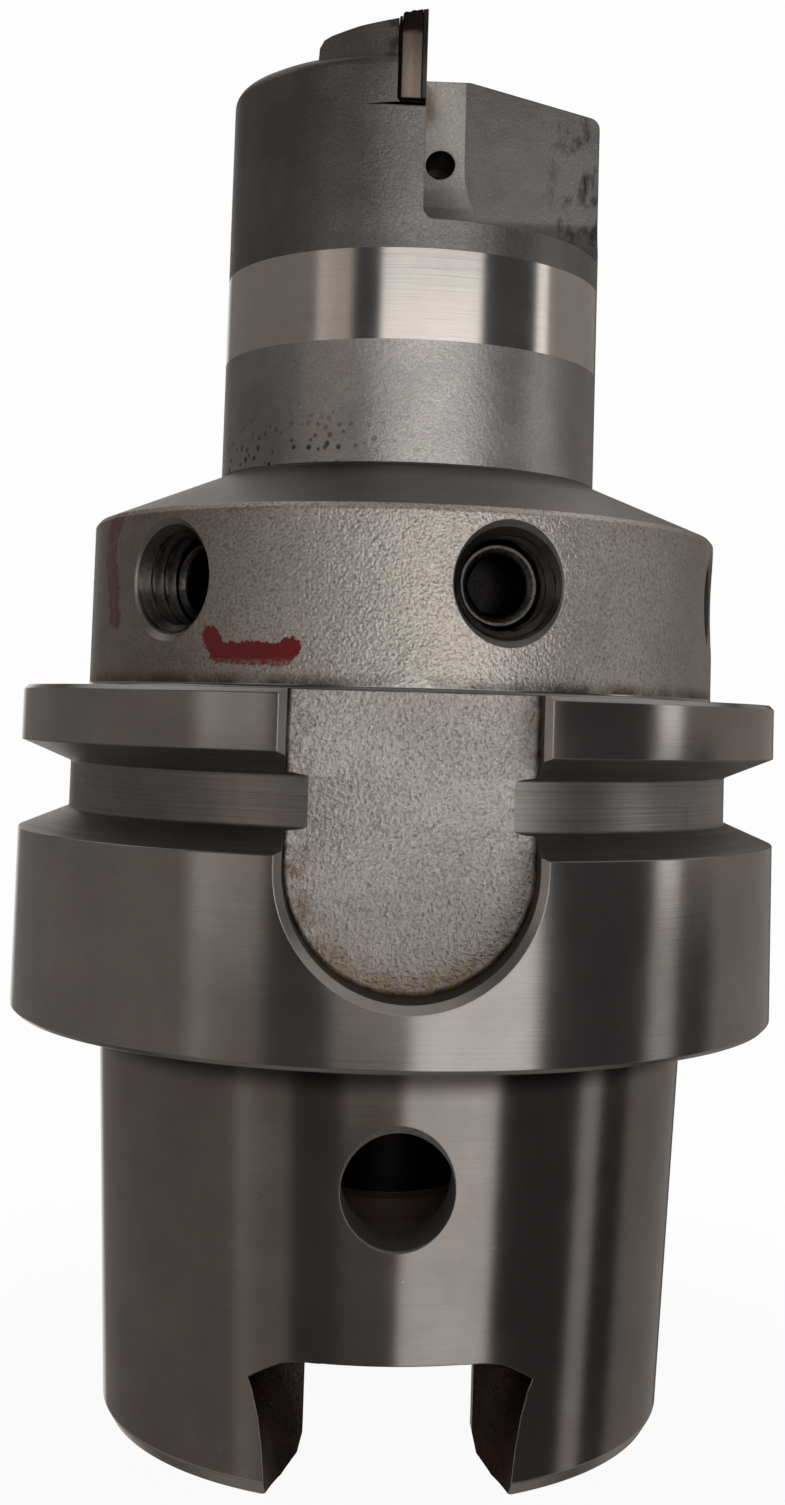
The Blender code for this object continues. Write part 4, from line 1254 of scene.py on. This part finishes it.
def make_nut():
    """The union nut, with four slots for its wrench."""
    outline = ((6.5, 5.6, 0.2), (8.42, 5.6, 0.4), (8.42, -3.6, 0.4), (6.5, -3.6, 0.2))
    corners = [(*corner, "nut") for corner in outline]
    material = SMALL["nut"]
    nut = face_outwards(lathe("tube_union_nut", corners, 128, {"nut": material}, closed=True))
    slots = []
    for degrees in (45, 135, 225, 315):
        outline = [(-1.5, -4.6), (1.5, -4.6), (1.5, -1.3), *arc((1.3, -1.3), 0.2, 0, 90, 4)]
        outline += [*arc((-1.3, -1.3), 0.2, 90, 180, 4), (-1.5, -1.3)]
        slots.append(turned(prism("nut_slot", outline, -9.5, -4.0, material), degrees))
    combine(nut, [joined("nut_slots", slots)])
    finish_piece(tidy(nut), BODY, "coolant_union_nut")


def make_ring(name, height, radius, thickness, body, node):
    """A rubber ring, slightly flattened where it is squeezed in its groove."""
    corners = []
    for x, y in arc((0.0, 0.0), 1.0, 0, 360, 24)[:-1]:
        flat = 0.94 if abs(x) > 0.8 else 1.0
        corners.append((radius + thickness * flat * x, height - thickness * y, 0, "rubber"))
    ring = lathe(name, corners, 128, {"rubber": SMALL["rubber"]}, closed=True)
    finish_piece(tidy(face_outwards(ring), 60), body, node)


# ---------------------------------------------------------------- studio


def floor_material():
    """Pale paper for the camera. Other rays pass through it to the studio light."""
    finish = Finish("studio_floor_pale", metallic=0.0)
    finish.set(Base_Color=(0.86, 0.855, 0.85), Roughness=0.7)
    fade = finish.fit(finish.distance(finish.x, finish.y), 20.0, 80.0, 0.96, 1.0, smooth=True)
    backdrop = finish.add("ShaderNodeEmission", {"Color": BACKDROP}).outputs[0]
    mixed = {0: fade, 1: finish.shader.outputs[0], 2: backdrop}
    paper = finish.add("ShaderNodeMixShader", mixed).outputs[0]
    clear = finish.add("ShaderNodeBsdfTransparent").outputs[0]
    finish.put(finish.tree.nodes["Material Output"].inputs["Surface"], finish.by_ray(paper, clear))
    return finish.material


def make_floor():
    """A plain pale floor that fades into the backdrop."""
    rings = (0.0, 40.0, 80.0, 160.0, 320.0, 900.0)
    corners = [(radius, SHANK_END - 0.02, 0, "floor") for radius in rings]
    floor = lathe("studio_floor", corners, 96, {"floor": floor_material()})
    to_frame(floor)


def make_world():
    """Soft boxes round the tool and above it; the camera sees a plain backdrop instead."""
    world = bpy.data.worlds.new("studio")
    bpy.context.scene.world = world
    world.use_nodes = True
    world.node_tree.nodes.clear()
    nodes = Nodes(world.node_tree)

    def window(value, low, high, softness):
        """1 between low and high, falling to 0 outside. value is counted from their middle."""
        away = nodes.calc("ABSOLUTE", value)
        return nodes.fit(away, (high - low + softness) / 2, (high - low - softness) / 2, smooth=True)

    direction = nodes.add("ShaderNodeTexCoord").outputs["Generated"]
    x, y, z = nodes.add("ShaderNodeSeparateXYZ", {"Vector": direction}).outputs
    azimuth = nodes.azimuth(x, y)
    elevation = nodes.times(nodes.calc("ARCSINE", z), TO_DEGREES)
    light = (ROOM_LIGHT,) * 3
    for left, right, low, high, softness, brightness, tint in SOFT_BOXES:
        turn = nodes.calc("WRAP", nodes.calc("SUBTRACT", azimuth, (left + right) / 2), 180.0, -180.0)
        rise = nodes.calc("SUBTRACT", elevation, (low + high) / 2)
        box = nodes.times(window(turn, left, right, softness), window(rise, low, high, softness))
        colour = [brightness * part for part in tint]
        more = nodes.add("ShaderNodeVectorMath", {0: box, 1: colour, 2: light}, operation="MULTIPLY_ADD")
        light = more.outputs["Vector"]
    lit = nodes.add("ShaderNodeBackground", {"Color": light}).outputs[0]
    plain = nodes.add("ShaderNodeBackground", {"Color": BACKDROP}).outputs[0]
    nodes.add("ShaderNodeOutputWorld", {"Surface": nodes.by_ray(plain, lit)})


def make_camera():
    """The camera looks along +Y from the wide slot's side, level with the flange, a little upwards."""
    data = bpy.data.cameras.new("camera")
    data.lens = 43.62
    data.sensor_width = 36.0
    data.sensor_fit = "AUTO"
    data.shift_x = -0.0369
    data.shift_y = -0.1095
    data.clip_start = 0.01
    camera = bpy.data.objects.new("camera", data)
    forward = Vector((0.06089, 0.99562, 0.07097)).normalized()
    right = forward.cross(Vector((-0.03324, -0.06904, 0.99706))).normalized()
    up = right.cross(forward)
    place = Vector((-5.811, -156.628, 24.279 + SHANK_LENGTH)) * MM
    camera.matrix_world = Matrix.Translation(place) @ Matrix((right, up, -forward)).transposed().to_4x4()
    bpy.context.scene.collection.objects.link(camera)
    bpy.context.scene.camera = camera


# ---------------------------------------------------------------- assembly

MATERIALS = body_materials()
make_body()
SMALL = small_materials()
make_tooth("front", 0)
make_tooth("rear", 180)
for index, sunk in enumerate(SCREW_DEPTHS):
    make_screw(index, sunk)
make_tube()
make_nut()
make_ring("tube_ring", 10.25, 6.72, 0.78, "coolant_tube", "tube_collar_seal")
make_ring("nut_ring", 6.6, 6.55, 0.8, BODY, "union_nut_seal")
make_floor()
make_world()
make_camera()
bpy.context.scene.view_settings.view_transform = "Standard"
